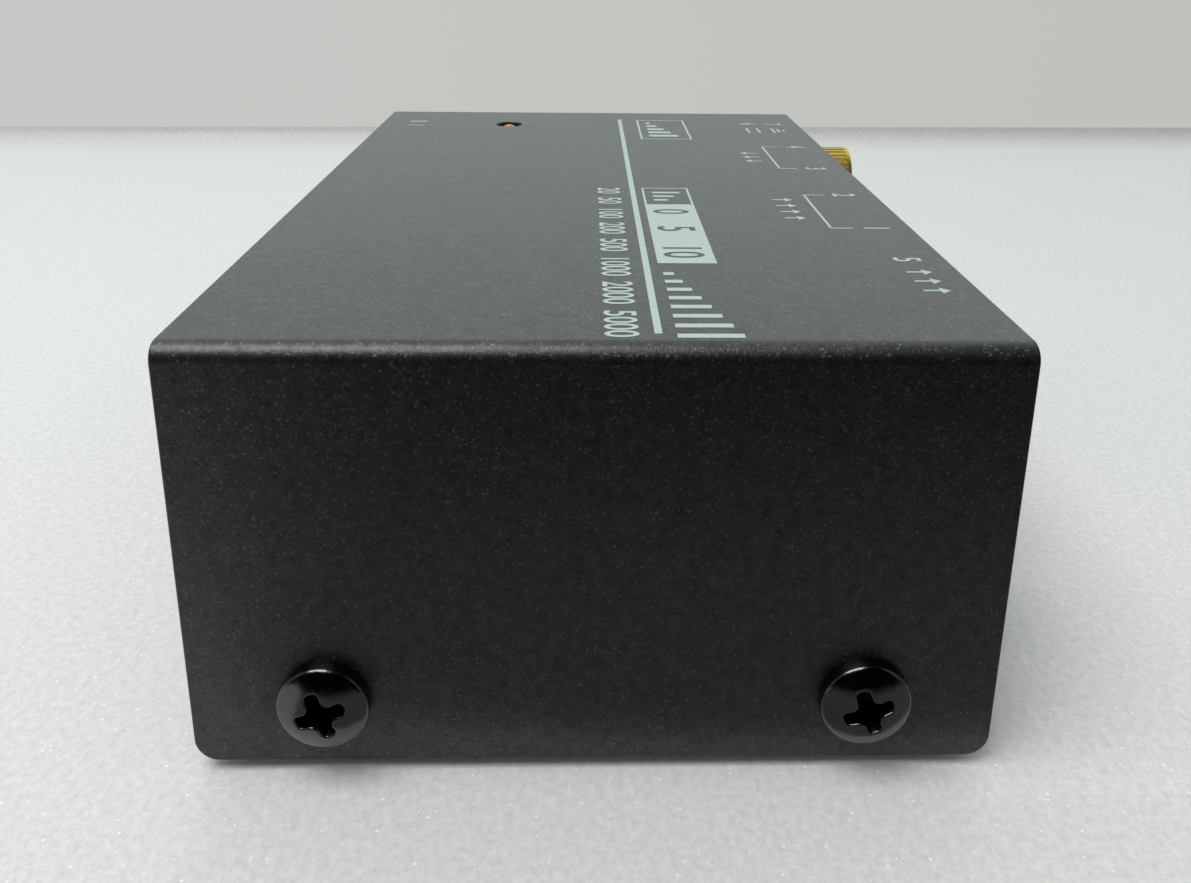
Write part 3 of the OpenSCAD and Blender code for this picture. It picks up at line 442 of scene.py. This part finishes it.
def turned(points, steps=64, ring=False):
    """A lathe-turned form round Z, from the radius and height of each point of its half section."""
    bm = bmesh.new()
    line = [bm.verts.new((radius, 0, height)) for radius, height in points]
    edges = [bm.edges.new(pair) for pair in zip(line, line[1:] + line[:1] if ring else line[1:])]
    bmesh.ops.spin(bm, geom=line + edges, cent=(0, 0, 0), axis=(0, 0, 1), angle=2 * pi, steps=steps, use_merge=True)
    bmesh.ops.remove_doubles(bm, verts=bm.verts, dist=weld)
    bmesh.ops.recalc_face_normals(bm, faces=bm.faces)
    return bm


def cross_tool(reach, arm, top, depth):
    """The punch of a cross recess: four arms with rounded ends and inner corners, narrowing to the bottom."""
    inner_round, end_round, taper = 0.60 * arm, 0.36 * arm, 0.78
    bm = bmesh.new()
    quarter = [(arm / 2, reach / 2), (arm / 2, arm / 2), (reach / 2, arm / 2)]
    corners = [bm.verts.new((*(Matrix.Rotation(-turn * pi / 2, 2) @ Vector(point)), top + depth / 4))
               for turn in range(4) for point in quarter]
    bm.faces.new(corners)
    for some, width in ((corners[1::3], inner_round), (corners[0::3] + corners[2::3], end_round)):
        round_off(bm, some, width, 5, affect="VERTICES")
    cap = bm.faces[:]
    for drop, narrow in ((depth / 4, 1.0), (depth, taper)):
        drawn = bmesh.ops.extrude_face_region(bm, geom=cap)["geom"]
        cap = [part for part in drawn if isinstance(part, bmesh.types.BMFace)]
        foot = corners_in(drawn)
        bmesh.ops.translate(bm, verts=foot, vec=(0, 0, -drop))
        bmesh.ops.scale(bm, verts=foot, vec=(narrow, narrow, 1))
    bmesh.ops.delete(bm, geom=[face for face in bm.faces if abs(face.calc_center_median().z - top) < depth / 100
                               and abs(face.normal.z) > 0.9], context="FACES_ONLY")
    bmesh.ops.recalc_face_normals(bm, faces=bm.faces)
    return bm


def pan_head(radius, height, rim, shank, shank_long):
    """A pan-head screw that points up Z from its seat. It is pressed flat first, then its top is domed."""
    bm = bmesh.new()
    bmesh.ops.create_cone(bm, cap_ends=True, segments=72, radius1=radius, radius2=radius, depth=height,
                          matrix=Matrix.Translation((0, 0, height / 2)))
    seat = [min(bm.faces, key=lambda face: face.calc_center_median().z)]
    bmesh.ops.inset_region(bm, faces=seat, thickness=radius - shank, use_even_offset=True)
    drawn = bmesh.ops.extrude_face_region(bm, geom=seat)["geom"]
    bmesh.ops.delete(bm, geom=seat, context="FACES")
    bmesh.ops.translate(bm, verts=corners_in(drawn), vec=(0, 0, -shank_long))
    head = carve(bm, cross_tool(reach=1.11 * radius, arm=0.31 * radius, top=height, depth=1.25 * height))
    clean(head)
    outer_lip, recess_lip = (0.9, 1.1, 0.13 * height, 5), (0, 0.9, 0.042 * radius, 4)
    for low, high, width, steps in (outer_lip, recess_lip):
        lip = [edge for edge in head.edges if all(abs(vert.co.z - height) < 0.001 * mm for vert in edge.verts)
               and low * radius < (edge.verts[0].co + edge.verts[1].co).xy.length / 2 < high * radius
               and edge.calc_face_angle(0) > radians(30)]
        round_off(head, lip, width, steps)
    bmesh.ops.triangulate(head, faces=head.faces)
    for axis in ((1, 0, 0), (0, 1, 0)):
        for step in range(-9, 10):
            bmesh.ops.bisect_plane(head, geom=head.verts[:] + head.edges[:] + head.faces[:], dist=weld,
                                   plane_co=Vector(axis) * (step + 0.5) * radius / 10, plane_no=axis)
    ball = (radius ** 2 + (height - rim) ** 2) / (2 * (height - rim))
    for vert in head.verts:
        if vert.co.z > 0:
            vert.co.z *= 1 - (ball - sqrt(ball ** 2 - min(vert.co.xy.length, radius) ** 2)) / height
    return head


def gather(shapes):
    """One shape from several pairs of a shape and its place."""
    whole = bmesh.new()
    for shape, matrix in shapes:
        shape.transform(matrix)
        join(shape, whole)
    return whole


def toward(place, direction, turn=0):
    """The matrix that stands a shape at a place, with its Z axis along a direction and a turn about it."""
    tilt = Vector(direction).to_track_quat("Z", "Y").to_matrix().to_4x4()
    return Matrix.Translation(place) @ tilt @ Matrix.Rotation(radians(turn), 4, "Z")


screws = gather([(pan_head(screw_head_radius, screw_head_height, screw_rim, screw_shank, screw_long),
                  toward(spot, (1 if spot[0] > 0 else -1, 0, 0), turn))
                 for spot, turn in zip(screw_places, screw_turns)])
settle(screws, "black_pan_screws", black_zinc, "case", "black_screw", "cover_screws")

# Feet. Four black rubber discs, die-cut from a sheet and stuck under the tray's corners by their own adhesive.
# Pressing leaves the lower edge soft, and the rubber is matt and faintly grained.
foot_low, foot_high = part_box("feet")
foot_radius = 5 * mm
foot_edge = 0.2 * mm


def grained_finish(name, low, high, grain_size, relief_depth, gloss_range, sockets):
    """A finish whose colour, gloss and relief vary together over grains of a real size."""
    material, tree, shader, place = start_finish(name, sockets)
    noise = add(tree, "ShaderNodeTexNoise", {},
                {"Vector": place, "Scale": 1 / grain_size, "Detail": 4.0, "Roughness": 0.6})
    colour = add(tree, "ShaderNodeMix", {"data_type": "RGBA"}, {0: noise.outputs["Fac"], 6: srgb(low), 7: srgb(high)})
    roughness = add(tree, "ShaderNodeMapRange", {}, {
        "Value": noise.outputs["Fac"], "From Min": 0.3, "From Max": 0.7,
        "To Min": gloss_range[0], "To Max": gloss_range[1]})
    normal = add(tree, "ShaderNodeBump", {}, {"Height": noise.outputs["Fac"], "Distance": relief_depth})
    link_finish(tree, shader, colour.outputs[2], roughness.outputs[0], normal.outputs["Normal"])
    return material


foot_rubber = grained_finish("matt_die_cut_rubber", "#151515", "#202020", 0.5 * mm, 0.02 * mm, (0.75, 0.9), {})
foot_thick = foot_high.z - foot_low.z
feet = gather([(turned([(0, 0), (foot_radius - foot_edge, 0), (foot_radius - 0.3 * foot_edge, 0.3 * foot_edge),
                        (foot_radius, foot_edge), (foot_radius, foot_thick), (0, foot_thick)]),
                Matrix.Translation((x, y, foot_low.z)))
               for x in (foot_low.x + foot_radius, foot_high.x - foot_radius)
               for y in (foot_low.y + foot_radius, foot_high.y - foot_radius)])
settle(feet, "rubber_feet", foot_rubber, "case", "foot_rubber", "feet")

# Phono sockets. Two twin sockets in one moulded black housing each. A nickel-plated shell with a rolled front edge
# holds a coloured insulator, red for the right channel and white for the left, round a sprung centre contact.
shell_bore = 3.6 * mm
shell_radius = 4.15 * mm
shell_tube = 8.1 * mm
flange_radius = 4.7 * mm
flange_thick = 0.4 * mm
flange_edge = 0.08 * mm
flange_fillet = 0.12 * mm
plug_bore = 1.65 * mm
contact_bore = 2.2 * mm
contact_bore_deep = 4 * mm
groove_inside, groove_outside = 2.05 * mm, 2.75 * mm
insulator_edge = 0.15 * mm
insulator_play = 0.05 * mm
panel_screw_rim = 0.95 * mm
panel_screw_shank, panel_screw_long = 1.5 * mm, 6 * mm
near_turn, far_turn = -12, 31

# Moulded plastic has a soft even gloss, bright nickel is a faintly hazed warm mirror, and tinned spring bronze is
# a duller one.
moulded_black = grained_finish("moulded_black_plastic", "#131314", "#1C1C1D", 0.25 * mm, 0.008 * mm, (0.38, 0.5), {})
bright_nickel = grained_finish("bright_nickel_plate", "#BDB7AB", "#D2CDC3", 1.2 * mm, 0.003 * mm, (0.14, 0.24),
                               {"Metallic": 1.0})
red_plastic = grained_finish("moulded_red_plastic", "#A31A17", "#BC2622", 0.4 * mm, 0.006 * mm, (0.26, 0.38), {})
white_plastic = grained_finish("moulded_white_plastic", "#E2DED3", "#F0EDE4", 0.4 * mm, 0.006 * mm, (0.28, 0.4), {})
spring_bronze = grained_finish("tinned_spring_bronze", "#B08A4C", "#C9A868", 0.6 * mm, 0.004 * mm, (0.25, 0.38),
                               {"Metallic": 1.0})


def refinish(node, finish):
    """Gives a CAD node that stays in the scene its finish."""
    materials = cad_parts[node].data.materials
    materials.clear()
    materials.append(finish)


def facing_out(shape, place):
    """A shape stood at a place in the connector wall, with its Z axis pointing out of the wall."""
    return gather([(shape, toward(place, (0, 1, 0)))])


for node in ("output_rca_housing", "input_rca_housing"):
    settle(ease(merged_copy(node), 0.15 * mm), "moulded_" + node, moulded_black, "case", "moulded_black", node)
for node in ("output_right", "output_left", "input_right", "input_left"):
    shell_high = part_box(node + "_shell")[1]
    socket_x = middle(node + "_shell")[0]
    socket_z = shell_high.z - flange_radius
    back = shell_high.y - shell_tube - flange_thick
    end = shell_high.y - back
    shell = turned([(shell_bore, 0), (flange_radius - flange_edge, 0), (flange_radius, flange_edge),
                    (flange_radius, flange_thick - flange_edge), (flange_radius - flange_edge, flange_thick),
                    (shell_radius + flange_fillet, flange_thick), (shell_radius, flange_thick + flange_fillet),
                    (shell_radius, end - 0.35 * mm), (shell_radius - 0.1 * mm, end - 0.1 * mm),
                    (shell_radius - 0.28 * mm, end), (shell_bore + 0.1 * mm, end - 0.04 * mm),
                    (shell_bore, end - 0.2 * mm)], ring=True)
    settle(facing_out(shell, (socket_x, back, socket_z)), node + "_nickel_shell", bright_nickel, "case",
           "nickel_plate", node + "_shell")
    inner_low, inner_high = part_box(node + "_insulator")
    deep = inner_high.y - inner_low.y
    radius = shell_bore - insulator_play
    insulator = turned([(contact_bore, 0), (radius, 0), (radius, deep - insulator_edge),
                        (radius - insulator_edge, deep), (groove_outside, deep),
                        (groove_outside - 0.15 * mm, deep - 0.3 * mm), (groove_inside + 0.1 * mm, deep - 0.35 * mm),
                        (groove_inside, deep), (plug_bore + insulator_edge, deep), (plug_bore, deep - insulator_edge),
                        (plug_bore, contact_bore_deep), (contact_bore, contact_bore_deep)], ring=True)
    tinted, slot = (red_plastic, "red_insulator") if "right" in node else (white_plastic, "white_insulator")
    settle(facing_out(insulator, (socket_x, inner_low.y, socket_z)), node + "_coloured_insulator", tinted, "case",
           slot, node + "_insulator")
refinish("rca_centre_contacts", spring_bronze)
panel_low, panel_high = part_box("rca_panel_screws")
panel_radius = (panel_high.z - panel_low.z) / 2
panel_z = middle("rca_panel_screws")[2]
panel_screws = gather([(pan_head(panel_radius, panel_high.y - cover_high.y, panel_screw_rim, panel_screw_shank,
                                 panel_screw_long), toward((x, cover_high.y, panel_z), (0, 1, 0), turn))
                       for x, turn in ((panel_low.x + panel_radius, far_turn),
                                       (panel_high.x - panel_radius, near_turn))])
settle(panel_screws, "black_panel_screws", black_zinc, "case", "black_screw", "rca_panel_screws")

# Output jack. A moulded housing behind the wall and a nickel-plated threaded bushing through it, held by a
# washer and a nickel-plated hexagonal nut. Three bronze springs meet the plug inside.
bushing_low, bushing_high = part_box("jack_bushing")
bushing_radius = (bushing_high.x - bushing_low.x) / 2
bushing_bore = 3.2 * mm
bushing_mouth = 0.35 * mm
bushing_pitch = 0.75 * mm
bushing_thread = 0.28 * mm

settle(ease(merged_copy("jack_housing"), 0.2 * mm), "moulded_jack_housing", moulded_black, "case", "moulded_black",
       "jack_housing")


def thread_section(radius, start, end, pitch, depth):
    """The points of a thread's outer line between two heights."""
    turns = int((end - start) / pitch)
    return [point for i in range(turns) for point in (
        (radius - depth, start + i * pitch), (radius, start + (i + 0.40) * pitch),
        (radius, start + (i + 0.60) * pitch))] + [(radius - depth, start + turns * pitch)]


bushing_long = bushing_high.y - bushing_low.y
bushing = turned([(bushing_bore, 0), (bushing_radius - 0.4 * mm, 0)]
                 + thread_section(bushing_radius, 0.3 * mm, bushing_long - 0.4 * mm, bushing_pitch, bushing_thread)
                 + [(bushing_radius - 0.45 * mm, bushing_long), (bushing_bore + bushing_mouth, bushing_long),
                    (bushing_bore, bushing_long - bushing_mouth)], ring=True)
jack_x, _, jack_z = middle("jack_bushing")
settle(facing_out(bushing, (jack_x, bushing_low.y, jack_z)), "threaded_bushing", bright_nickel, "case",
       "nickel_plate", "jack_bushing")
settle(ease(merged_copy("jack_nut"), 0.1 * mm, sharper_than=25), "hexagonal_nut", bright_nickel, "case",
       "nickel_plate", "jack_nut")
settle(ease(merged_copy("jack_washer"), 0.08 * mm), "flat_washer", bright_nickel, "case", "nickel_plate",
       "jack_washer")
for node in ("jack_tip_spring", "jack_ring_spring", "jack_sleeve_contact"):
    refinish(node, spring_bronze)

# Supply inlet. A moulded housing whose round nose fills the wall's hole, with a nickel-plated centre pin that has
# a rounded tip, and a sleeve spring beside the bore.
pin_radius = 1.05 * mm
pin_out = 9 * mm
pin_tail = 3 * mm


def dome(radius, top, step):
    """The points of a round end, from its side to its tip."""
    return [(radius * cos(radians(angle)), top - radius * (1 - sin(radians(angle))))
            for angle in range(0, 90, step)] + [(0, top)]


settle(ease(merged_copy("inlet_housing"), 0.15 * mm), "moulded_inlet_housing", moulded_black, "case",
       "moulded_black", "inlet_housing")
pin_low, pin_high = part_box("inlet_centre_pin")
pin_x, pin_y = middle("inlet_centre_pin")[0], pin_high.y - pin_out
pin_z = pin_high.z - (pin_high.x - pin_low.x) / 2
pin = turned([(0, -pin_tail), (pin_radius, -pin_tail)] + dome(pin_radius, pin_high.y - pin_y, 15), steps=32)
settle(facing_out(pin, (pin_x, pin_y, pin_z)), "inlet_pin_tip", bright_nickel, "case", "nickel_plate",
       "inlet_centre_pin")
refinish("inlet_sleeve_spring", spring_bronze)

# Ground terminal. A gold-plated brass stud through the wall, a washer and a thumb nut with a straight knurl. The
# nut screws out along the stud and frees the washer, which clamps the turntable's ground wire.
nut_low, nut_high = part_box("ground_thumb_nut")
nut_radius = (nut_high.x - nut_low.x) / 2
nut_long = nut_high.y - nut_low.y
nut_x, _, nut_z = middle("ground_thumb_nut")
stud_radius = 2 * mm
stud_pitch = 0.7 * mm
stud_thread = 0.25 * mm
collar_radius = 4 * mm
collar_thick = 1 * mm
collar_edge = 0.08 * mm
nut_bore = stud_radius + 0.05 * mm
nut_edge = 0.3 * mm
flute_margin = 0.6 * mm
flute_deep = 0.10 * mm
flute_count = 36

# Satin gold plate: a warm metal with broad, soft highlights and a faint grain.
gold_plate = grained_finish("satin_gold_plate", "#BE9F4C", "#D6BA69", 0.5 * mm, 0.006 * mm, (0.3, 0.44),
                            {"Metallic": 1.0})
nut = turned([(nut_bore, nut_edge), (nut_bore + nut_edge, 0), (nut_radius - nut_edge, 0),
              (nut_radius - 0.1 * mm, 0.06 * mm), (nut_radius, 0.25 * mm), (nut_radius, flute_margin),
              (nut_radius, nut_long - flute_margin), (nut_radius, nut_long - 0.25 * mm),
              (nut_radius - 0.1 * mm, nut_long - 0.06 * mm), (nut_radius - nut_edge, nut_long),
              (nut_bore + nut_edge, nut_long), (nut_bore, nut_long - nut_edge)], steps=2 * flute_count, ring=True)
grip = sorted((face for face in nut.faces if abs(face.calc_center_median().z - nut_long / 2) < 0.1 * mm
               and face.calc_center_median().xy.length > nut_radius - 0.05 * mm),
              key=lambda face: face.calc_center_median().to_2d().angle_signed(Vector((1, 0))))
bmesh.ops.inset_individual(nut, faces=grip[::2], thickness=flute_deep, depth=-flute_deep)
settle(facing_out(nut, (nut_x, nut_low.y, nut_z)), "knurled_thumb_nut", gold_plate, "thumb_nut", "gold_plate",
       "ground_thumb_nut")
settle(ease(merged_copy("ground_washer"), 0.08 * mm), "clamp_washer_disc", gold_plate, "clamp_washer", "gold_plate",
       "ground_washer")
stud_low, stud_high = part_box("ground_stud")
collar = cover_high.y - stud_low.y
stud_long = stud_high.y - stud_low.y
collar_end = collar + collar_thick
stud = turned([(0, 0), (stud_radius - 0.3 * mm, 0)]
              + thread_section(stud_radius, 0.2 * mm, collar - 0.2 * mm, stud_pitch, stud_thread)
              + [(collar_radius - collar_edge, collar), (collar_radius, collar + collar_edge),
                 (collar_radius, collar_end - collar_edge), (collar_radius - collar_edge, collar_end),
                 (stud_radius - stud_thread, collar_end)]
              + thread_section(stud_radius, collar_end + 0.1 * mm, stud_long - 0.3 * mm, stud_pitch, stud_thread)
              + [(stud_radius - 0.4 * mm, stud_long), (0, stud_long)], steps=48)
settle(facing_out(stud, (nut_x, stud_low.y, nut_z)), "threaded_stud", gold_plate, "case", "gold_plate",
       "ground_stud")

# Power light. A clear amber epoxy lens 3 mm across with a flange at its foot, cast round the two leads that it
# stands on. It reaches up into the cover's hole, and it is unlit.
lens_radius = 1.5 * mm
lens_flange_wide, lens_flange_high = 0.4 * mm, 0.8 * mm

# Clear epoxy: glossy, a deeper amber where the resin is thick and a paler one where light gets in.
amber_epoxy, tree, shader, place = start_finish("amber_epoxy_lens", {"IOR": 1.54, "Transmission Weight": 0.12})
depth_of_amber = add(tree, "ShaderNodeTexNoise", {}, {"Vector": place, "Scale": 1 / (1.2 * mm), "Detail": 2.0})
amber = add(tree, "ShaderNodeMix", {"data_type": "RGBA"},
            {0: depth_of_amber.outputs["Fac"], 6: srgb("#A8581A"), 7: srgb("#D08A44")})
clear = add(tree, "ShaderNodeMapRange", {}, {"Value": depth_of_amber.outputs["Fac"], "To Min": 0.1, "To Max": 0.22})
bump = add(tree, "ShaderNodeBump", {}, {"Height": depth_of_amber.outputs["Fac"], "Distance": 0.004 * mm})
link_finish(tree, shader, amber.outputs[2], clear.outputs[0], bump.outputs["Normal"])
lens = turned([(0, 0), (lens_radius + lens_flange_wide, 0), (lens_radius + lens_flange_wide, lens_flange_high),
               (lens_radius, lens_flange_high)] + dome(lens_radius, light_high.z - light_low.z, 10), steps=48)
settle(gather([(lens, Matrix.Translation((light_x, light_y, light_low.z)))]), "amber_lens_light", amber_epoxy, "case",
       "amber_lens", "power_light")

# Circuit board and what stands on it: glass-fibre laminate under a green mask, zinc-plated hardware, moulded
# packages, sleeved cans and small parts. None of it shows while the cover is on.
bright_zinc = grained_finish("bright_zinc_plate", "#B2B5B8", "#C9CCCF", 1.0 * mm, 0.004 * mm, (0.26, 0.4),
                             {"Metallic": 1.0})
inner_finishes = {
    "circuit_board": grained_finish("green_solder_mask", "#17492C", "#226B40", 1.6 * mm, 0.01 * mm, (0.25, 0.4), {}),
    "board_spacers": bright_zinc, "board_screws": bright_zinc, "ground_inner_nut": bright_zinc,
    "ground_solder_lug": bright_zinc, "light_leads": bright_zinc,
    "ground_lead": grained_finish("green_vinyl_insulation", "#23742F", "#2F9040", 0.8 * mm, 0.01 * mm, (0.4, 0.5), {}),
    "light_spacer": moulded_black,
    "electrolytic_capacitors": grained_finish("dark_shrink_sleeve", "#1E2126", "#2B2F36", 0.9 * mm, 0.006 * mm,
                                              (0.22, 0.34), {}),
    "film_capacitors": grained_finish("red_dipped_epoxy", "#7C251B", "#9C3526", 0.7 * mm, 0.02 * mm, (0.3, 0.45), {}),
    "resistors": grained_finish("beige_enamel", "#A98B5B", "#C4A675", 0.8 * mm, 0.01 * mm, (0.3, 0.42), {}),
    "op_amps": grained_finish("black_package_epoxy", "#161617", "#212122", 0.2 * mm, 0.01 * mm, (0.5, 0.65), {}),
}
for node in ("voltage_regulator", "supply_diode"):
    inner_finishes[node] = inner_finishes["op_amps"]
inner_finishes["reservoir_capacitor"] = inner_finishes["electrolytic_capacitors"]
for node, finish in inner_finishes.items():
    refinish(node, finish)

# Room. A white laminate table with a soft fine grain and scattered flakes with painted glints, coved up to a pale
# wall, under one wide soft lamp high on the left. Dark cards in front of the case are painted shade that its glossy
# faces mirror.
table_edge = Vector((-214.3, -2.3, 0)) * mm
edge_turn = radians(1.93)
cove_radius = 4.5 * mm
room_side = 2
wall_top = 1.2
card_near, card_far, card_side, card_top, card_foot = 0.1, 0.6, 0.9, 0.9, 0.001
lamp_place = (0.215, -0.21, 0.58)


def stage_piece(name, finish, points, faces, turn=0):
    """A stage piece made of corners and faces, turned about the table's far edge."""
    mesh = bpy.data.meshes.new(name)
    mesh.from_pydata(points, [], faces)
    mesh.transform(Matrix.Translation(table_edge) @ Matrix.Rotation(turn, 4, "Z") @ Matrix.Translation(-table_edge))
    mesh.shade_smooth()
    mesh.materials.append(finish)
    thing = bpy.data.objects.new(name, mesh)
    scene.collection.objects.link(thing)
    return thing


# White laminate: off-white with a soft cloudy grain and a dull sheen. Small flakes here and there carry painted glints
# as whiter dots in the colour, and the cove carries painted shade, a little darker towards the wall.
table_laminate, tree, shader, place = start_finish("white_laminate", {"IOR": 1.45})
fine = add(tree, "ShaderNodeTexNoise", {},
           {"Vector": place, "Scale": 1 / (0.8 * mm), "Detail": 5.0, "Roughness": 0.8})
broad = add(tree, "ShaderNodeTexNoise", {}, {"Vector": place, "Scale": 1 / (30 * mm), "Detail": 2.0})
dull_white = add(tree, "ShaderNodeMapRange", {}, {"Value": fine.outputs["Fac"], "From Min": 0.3, "From Max": 0.7})
grainy = add(tree, "ShaderNodeMix", {"data_type": "RGBA"},
             {0: dull_white.outputs[0], 6: srgb("#BFBEBD"), 7: srgb("#D9D8D6")})
# Painted glints: a few Voronoi cells get a near-white dot in the colour where the flakes sparkle.
flakes = add(tree, "ShaderNodeTexVoronoi", {}, {"Vector": place, "Scale": 1 / (0.6 * mm)})
flake_value = add(tree, "ShaderNodeSeparateColor", {}, {"Color": flakes.outputs["Color"]})
lit = add(tree, "ShaderNodeMapRange", {}, {"Value": flake_value.outputs["Red"], "From Min": 0.78, "From Max": 0.94})
heart = add(tree, "ShaderNodeMapRange", {}, {"Value": flakes.outputs["Distance"], "From Min": 0.06, "From Max": 0.24,
                                             "To Min": 1.0, "To Max": 0.0})
painted_flake_glint = add(tree, "ShaderNodeMath", {"operation": "MULTIPLY"}, {0: lit.outputs[0], 1: heart.outputs[0]})
white = add(tree, "ShaderNodeMix", {"data_type": "RGBA"},
            {0: painted_flake_glint.outputs[0], 6: grainy.outputs[2], 7: srgb("#F4F4F2")})
# Painted shade: the colour is scaled down a little going up the cove towards the wall.
heights = add(tree, "ShaderNodeSeparateXYZ", {}, {"Vector": place})
shade = add(tree, "ShaderNodeMapRange", {}, {"Value": heights.outputs["Z"], "From Min": 0.0,
                                             "From Max": 0.9 * cove_radius, "To Min": 1.0, "To Max": 0.95})
shaded = add(tree, "ShaderNodeVectorMath", {"operation": "SCALE"}, {0: white.outputs[2], "Scale": shade.outputs[0]})
sheen = add(tree, "ShaderNodeMapRange", {}, {"Value": broad.outputs["Fac"], "To Min": 0.4, "To Max": 0.55})
bump = add(tree, "ShaderNodeBump", {}, {"Height": fine.outputs["Fac"], "Distance": 0.01 * mm})
link_finish(tree, shader, shaded.outputs[0], sheen.outputs[0], bump.outputs["Normal"])
cove = [(room_side, 0)] + [(table_edge.x - cove_radius * sin(radians(angle)), cove_radius * (1 - cos(radians(angle))))
                           for angle in range(0, 91, 10)]
stage_piece("table", table_laminate, [(x, y, z) for x, z in cove for y in (-room_side, room_side)],
            [(i, i + 1, i + 3, i + 2) for i in range(0, 2 * len(cove) - 2, 2)], edge_turn)

# Wall paint: flat and pale, a little darker to the right, and of even strength to whatever mirrors it.
wall_paint, tree, shader, place = start_finish("pale_wall_paint", {"Roughness": 0.9})
path = add(tree, "ShaderNodeLightPath", {}, {})
across = add(tree, "ShaderNodeSeparateXYZ", {}, {"Vector": place})
side = add(tree, "ShaderNodeMapRange", {}, {"Value": across.outputs["Y"], "From Min": -0.16, "From Max": 0.18})
paint = add(tree, "ShaderNodeMix", {"data_type": "RGBA"},
            {0: side.outputs[0], 6: srgb("#C0C2BF"), 7: srgb("#B9BBB6")})
tone = add(tree, "ShaderNodeMix", {"data_type": "RGBA"},
           {0: path.outputs["Is Camera Ray"], 6: srgb("#F3FFF9"), 7: paint.outputs[2]})
pale = add(tree, "ShaderNodeEmission", {}, {"Color": tone.outputs[2], "Strength": 1.08})
tree.links.new(pale.outputs[0], tree.nodes["Material Output"].inputs["Surface"])
stage_piece("wall", wall_paint,
            [(cove[-1][0], y, z) for z in (cove[-1][1], wall_top) for y in (-room_side, room_side)],
            [(0, 1, 3, 2)], edge_turn)

# Dark card: a black sheet that gives nothing back, seen only in reflections, as painted shade. Upright and overhead,
# it stands for the unlit room behind the camera. Lying in front of the case, it is a painted shadow on the table,
# greyer close to the case where that shadow is lighter.
painted_shade_card, tree, shader, place = start_finish("painted_shade_card", {"Roughness": 1.0, "Specular IOR Level": 0.0})
across = add(tree, "ShaderNodeSeparateXYZ", {}, {"Vector": place})
# Painted shadow: the lying card is grey near the case and black further out.
near = add(tree, "ShaderNodeMapRange", {}, {"Value": across.outputs["X"], "From Min": 0.075, "From Max": 0.125,
                                            "To Min": 1.0, "To Max": 0.0})
tone = add(tree, "ShaderNodeMix", {"data_type": "RGBA"},
           {0: near.outputs[0], 6: srgb("#060606"), 7: srgb("#80807F")})
tree.links.new(tone.outputs[2], shader.inputs["Base Color"])
for name, corners in (
        ("upright_painted_shade_card", ((card_far, -card_side, card_foot), (card_far, card_side, card_foot),
                               (card_far, card_side, card_top), (card_far, -card_side, card_top))),
        ("overhead_painted_shade_card", ((card_far, -card_side, card_top), (card_far, card_side, card_top),
                                (card_near, card_side, card_top), (card_near, -card_side, card_top))),
        ("lying_painted_shadow_card", [(x, y, card_foot) for x, y in (
            (0.057, -0.034), (0.054, 0.0), (0.054, card_side), (card_far, card_side), (card_far, -0.45),
            (0.13, -0.08))])):
    card = stage_piece(name, painted_shade_card, corners, [tuple(range(len(corners)))])
    card.visible_camera = False
    card.visible_diffuse = False
    card.visible_shadow = False

lamp_data = bpy.data.lights.new("wide_lamp", "AREA")
lamp_data.shape, lamp_data.size, lamp_data.size_y, lamp_data.energy = "RECTANGLE", 0.41, 0.42, 3.4
lamp = bpy.data.objects.new("wide_lamp", lamp_data)
lamp.matrix_world = Matrix.Translation(lamp_place)
scene.collection.objects.link(lamp)

world = bpy.data.worlds.new("pale_room")
scene.world = world
world.use_nodes = True
tree = world.node_tree
path = add(tree, "ShaderNodeLightPath", {}, {})
seen = add(tree, "ShaderNodeMath", {"operation": "MAXIMUM"},
           {0: path.outputs["Is Camera Ray"], 1: path.outputs["Is Transmission Ray"]})
soft = add(tree, "ShaderNodeMath", {"operation": "MULTIPLY_ADD"},
           {0: path.outputs["Is Glossy Ray"], 1: -0.25, 2: 0.58})
dim = add(tree, "ShaderNodeBackground", {}, {"Color": srgb("#E4E6E6"), "Strength": soft.outputs[0]})
bright = add(tree, "ShaderNodeBackground", {}, {"Color": srgb("#D4D8D3"), "Strength": 1.0})
both = add(tree, "ShaderNodeMixShader", {}, {0: seen.outputs[0], 1: dim.outputs[0], 2: bright.outputs[0]})
tree.links.new(both.outputs[0], tree.nodes["World Output"].inputs["Surface"])

scene.view_settings.view_transform = "Standard"
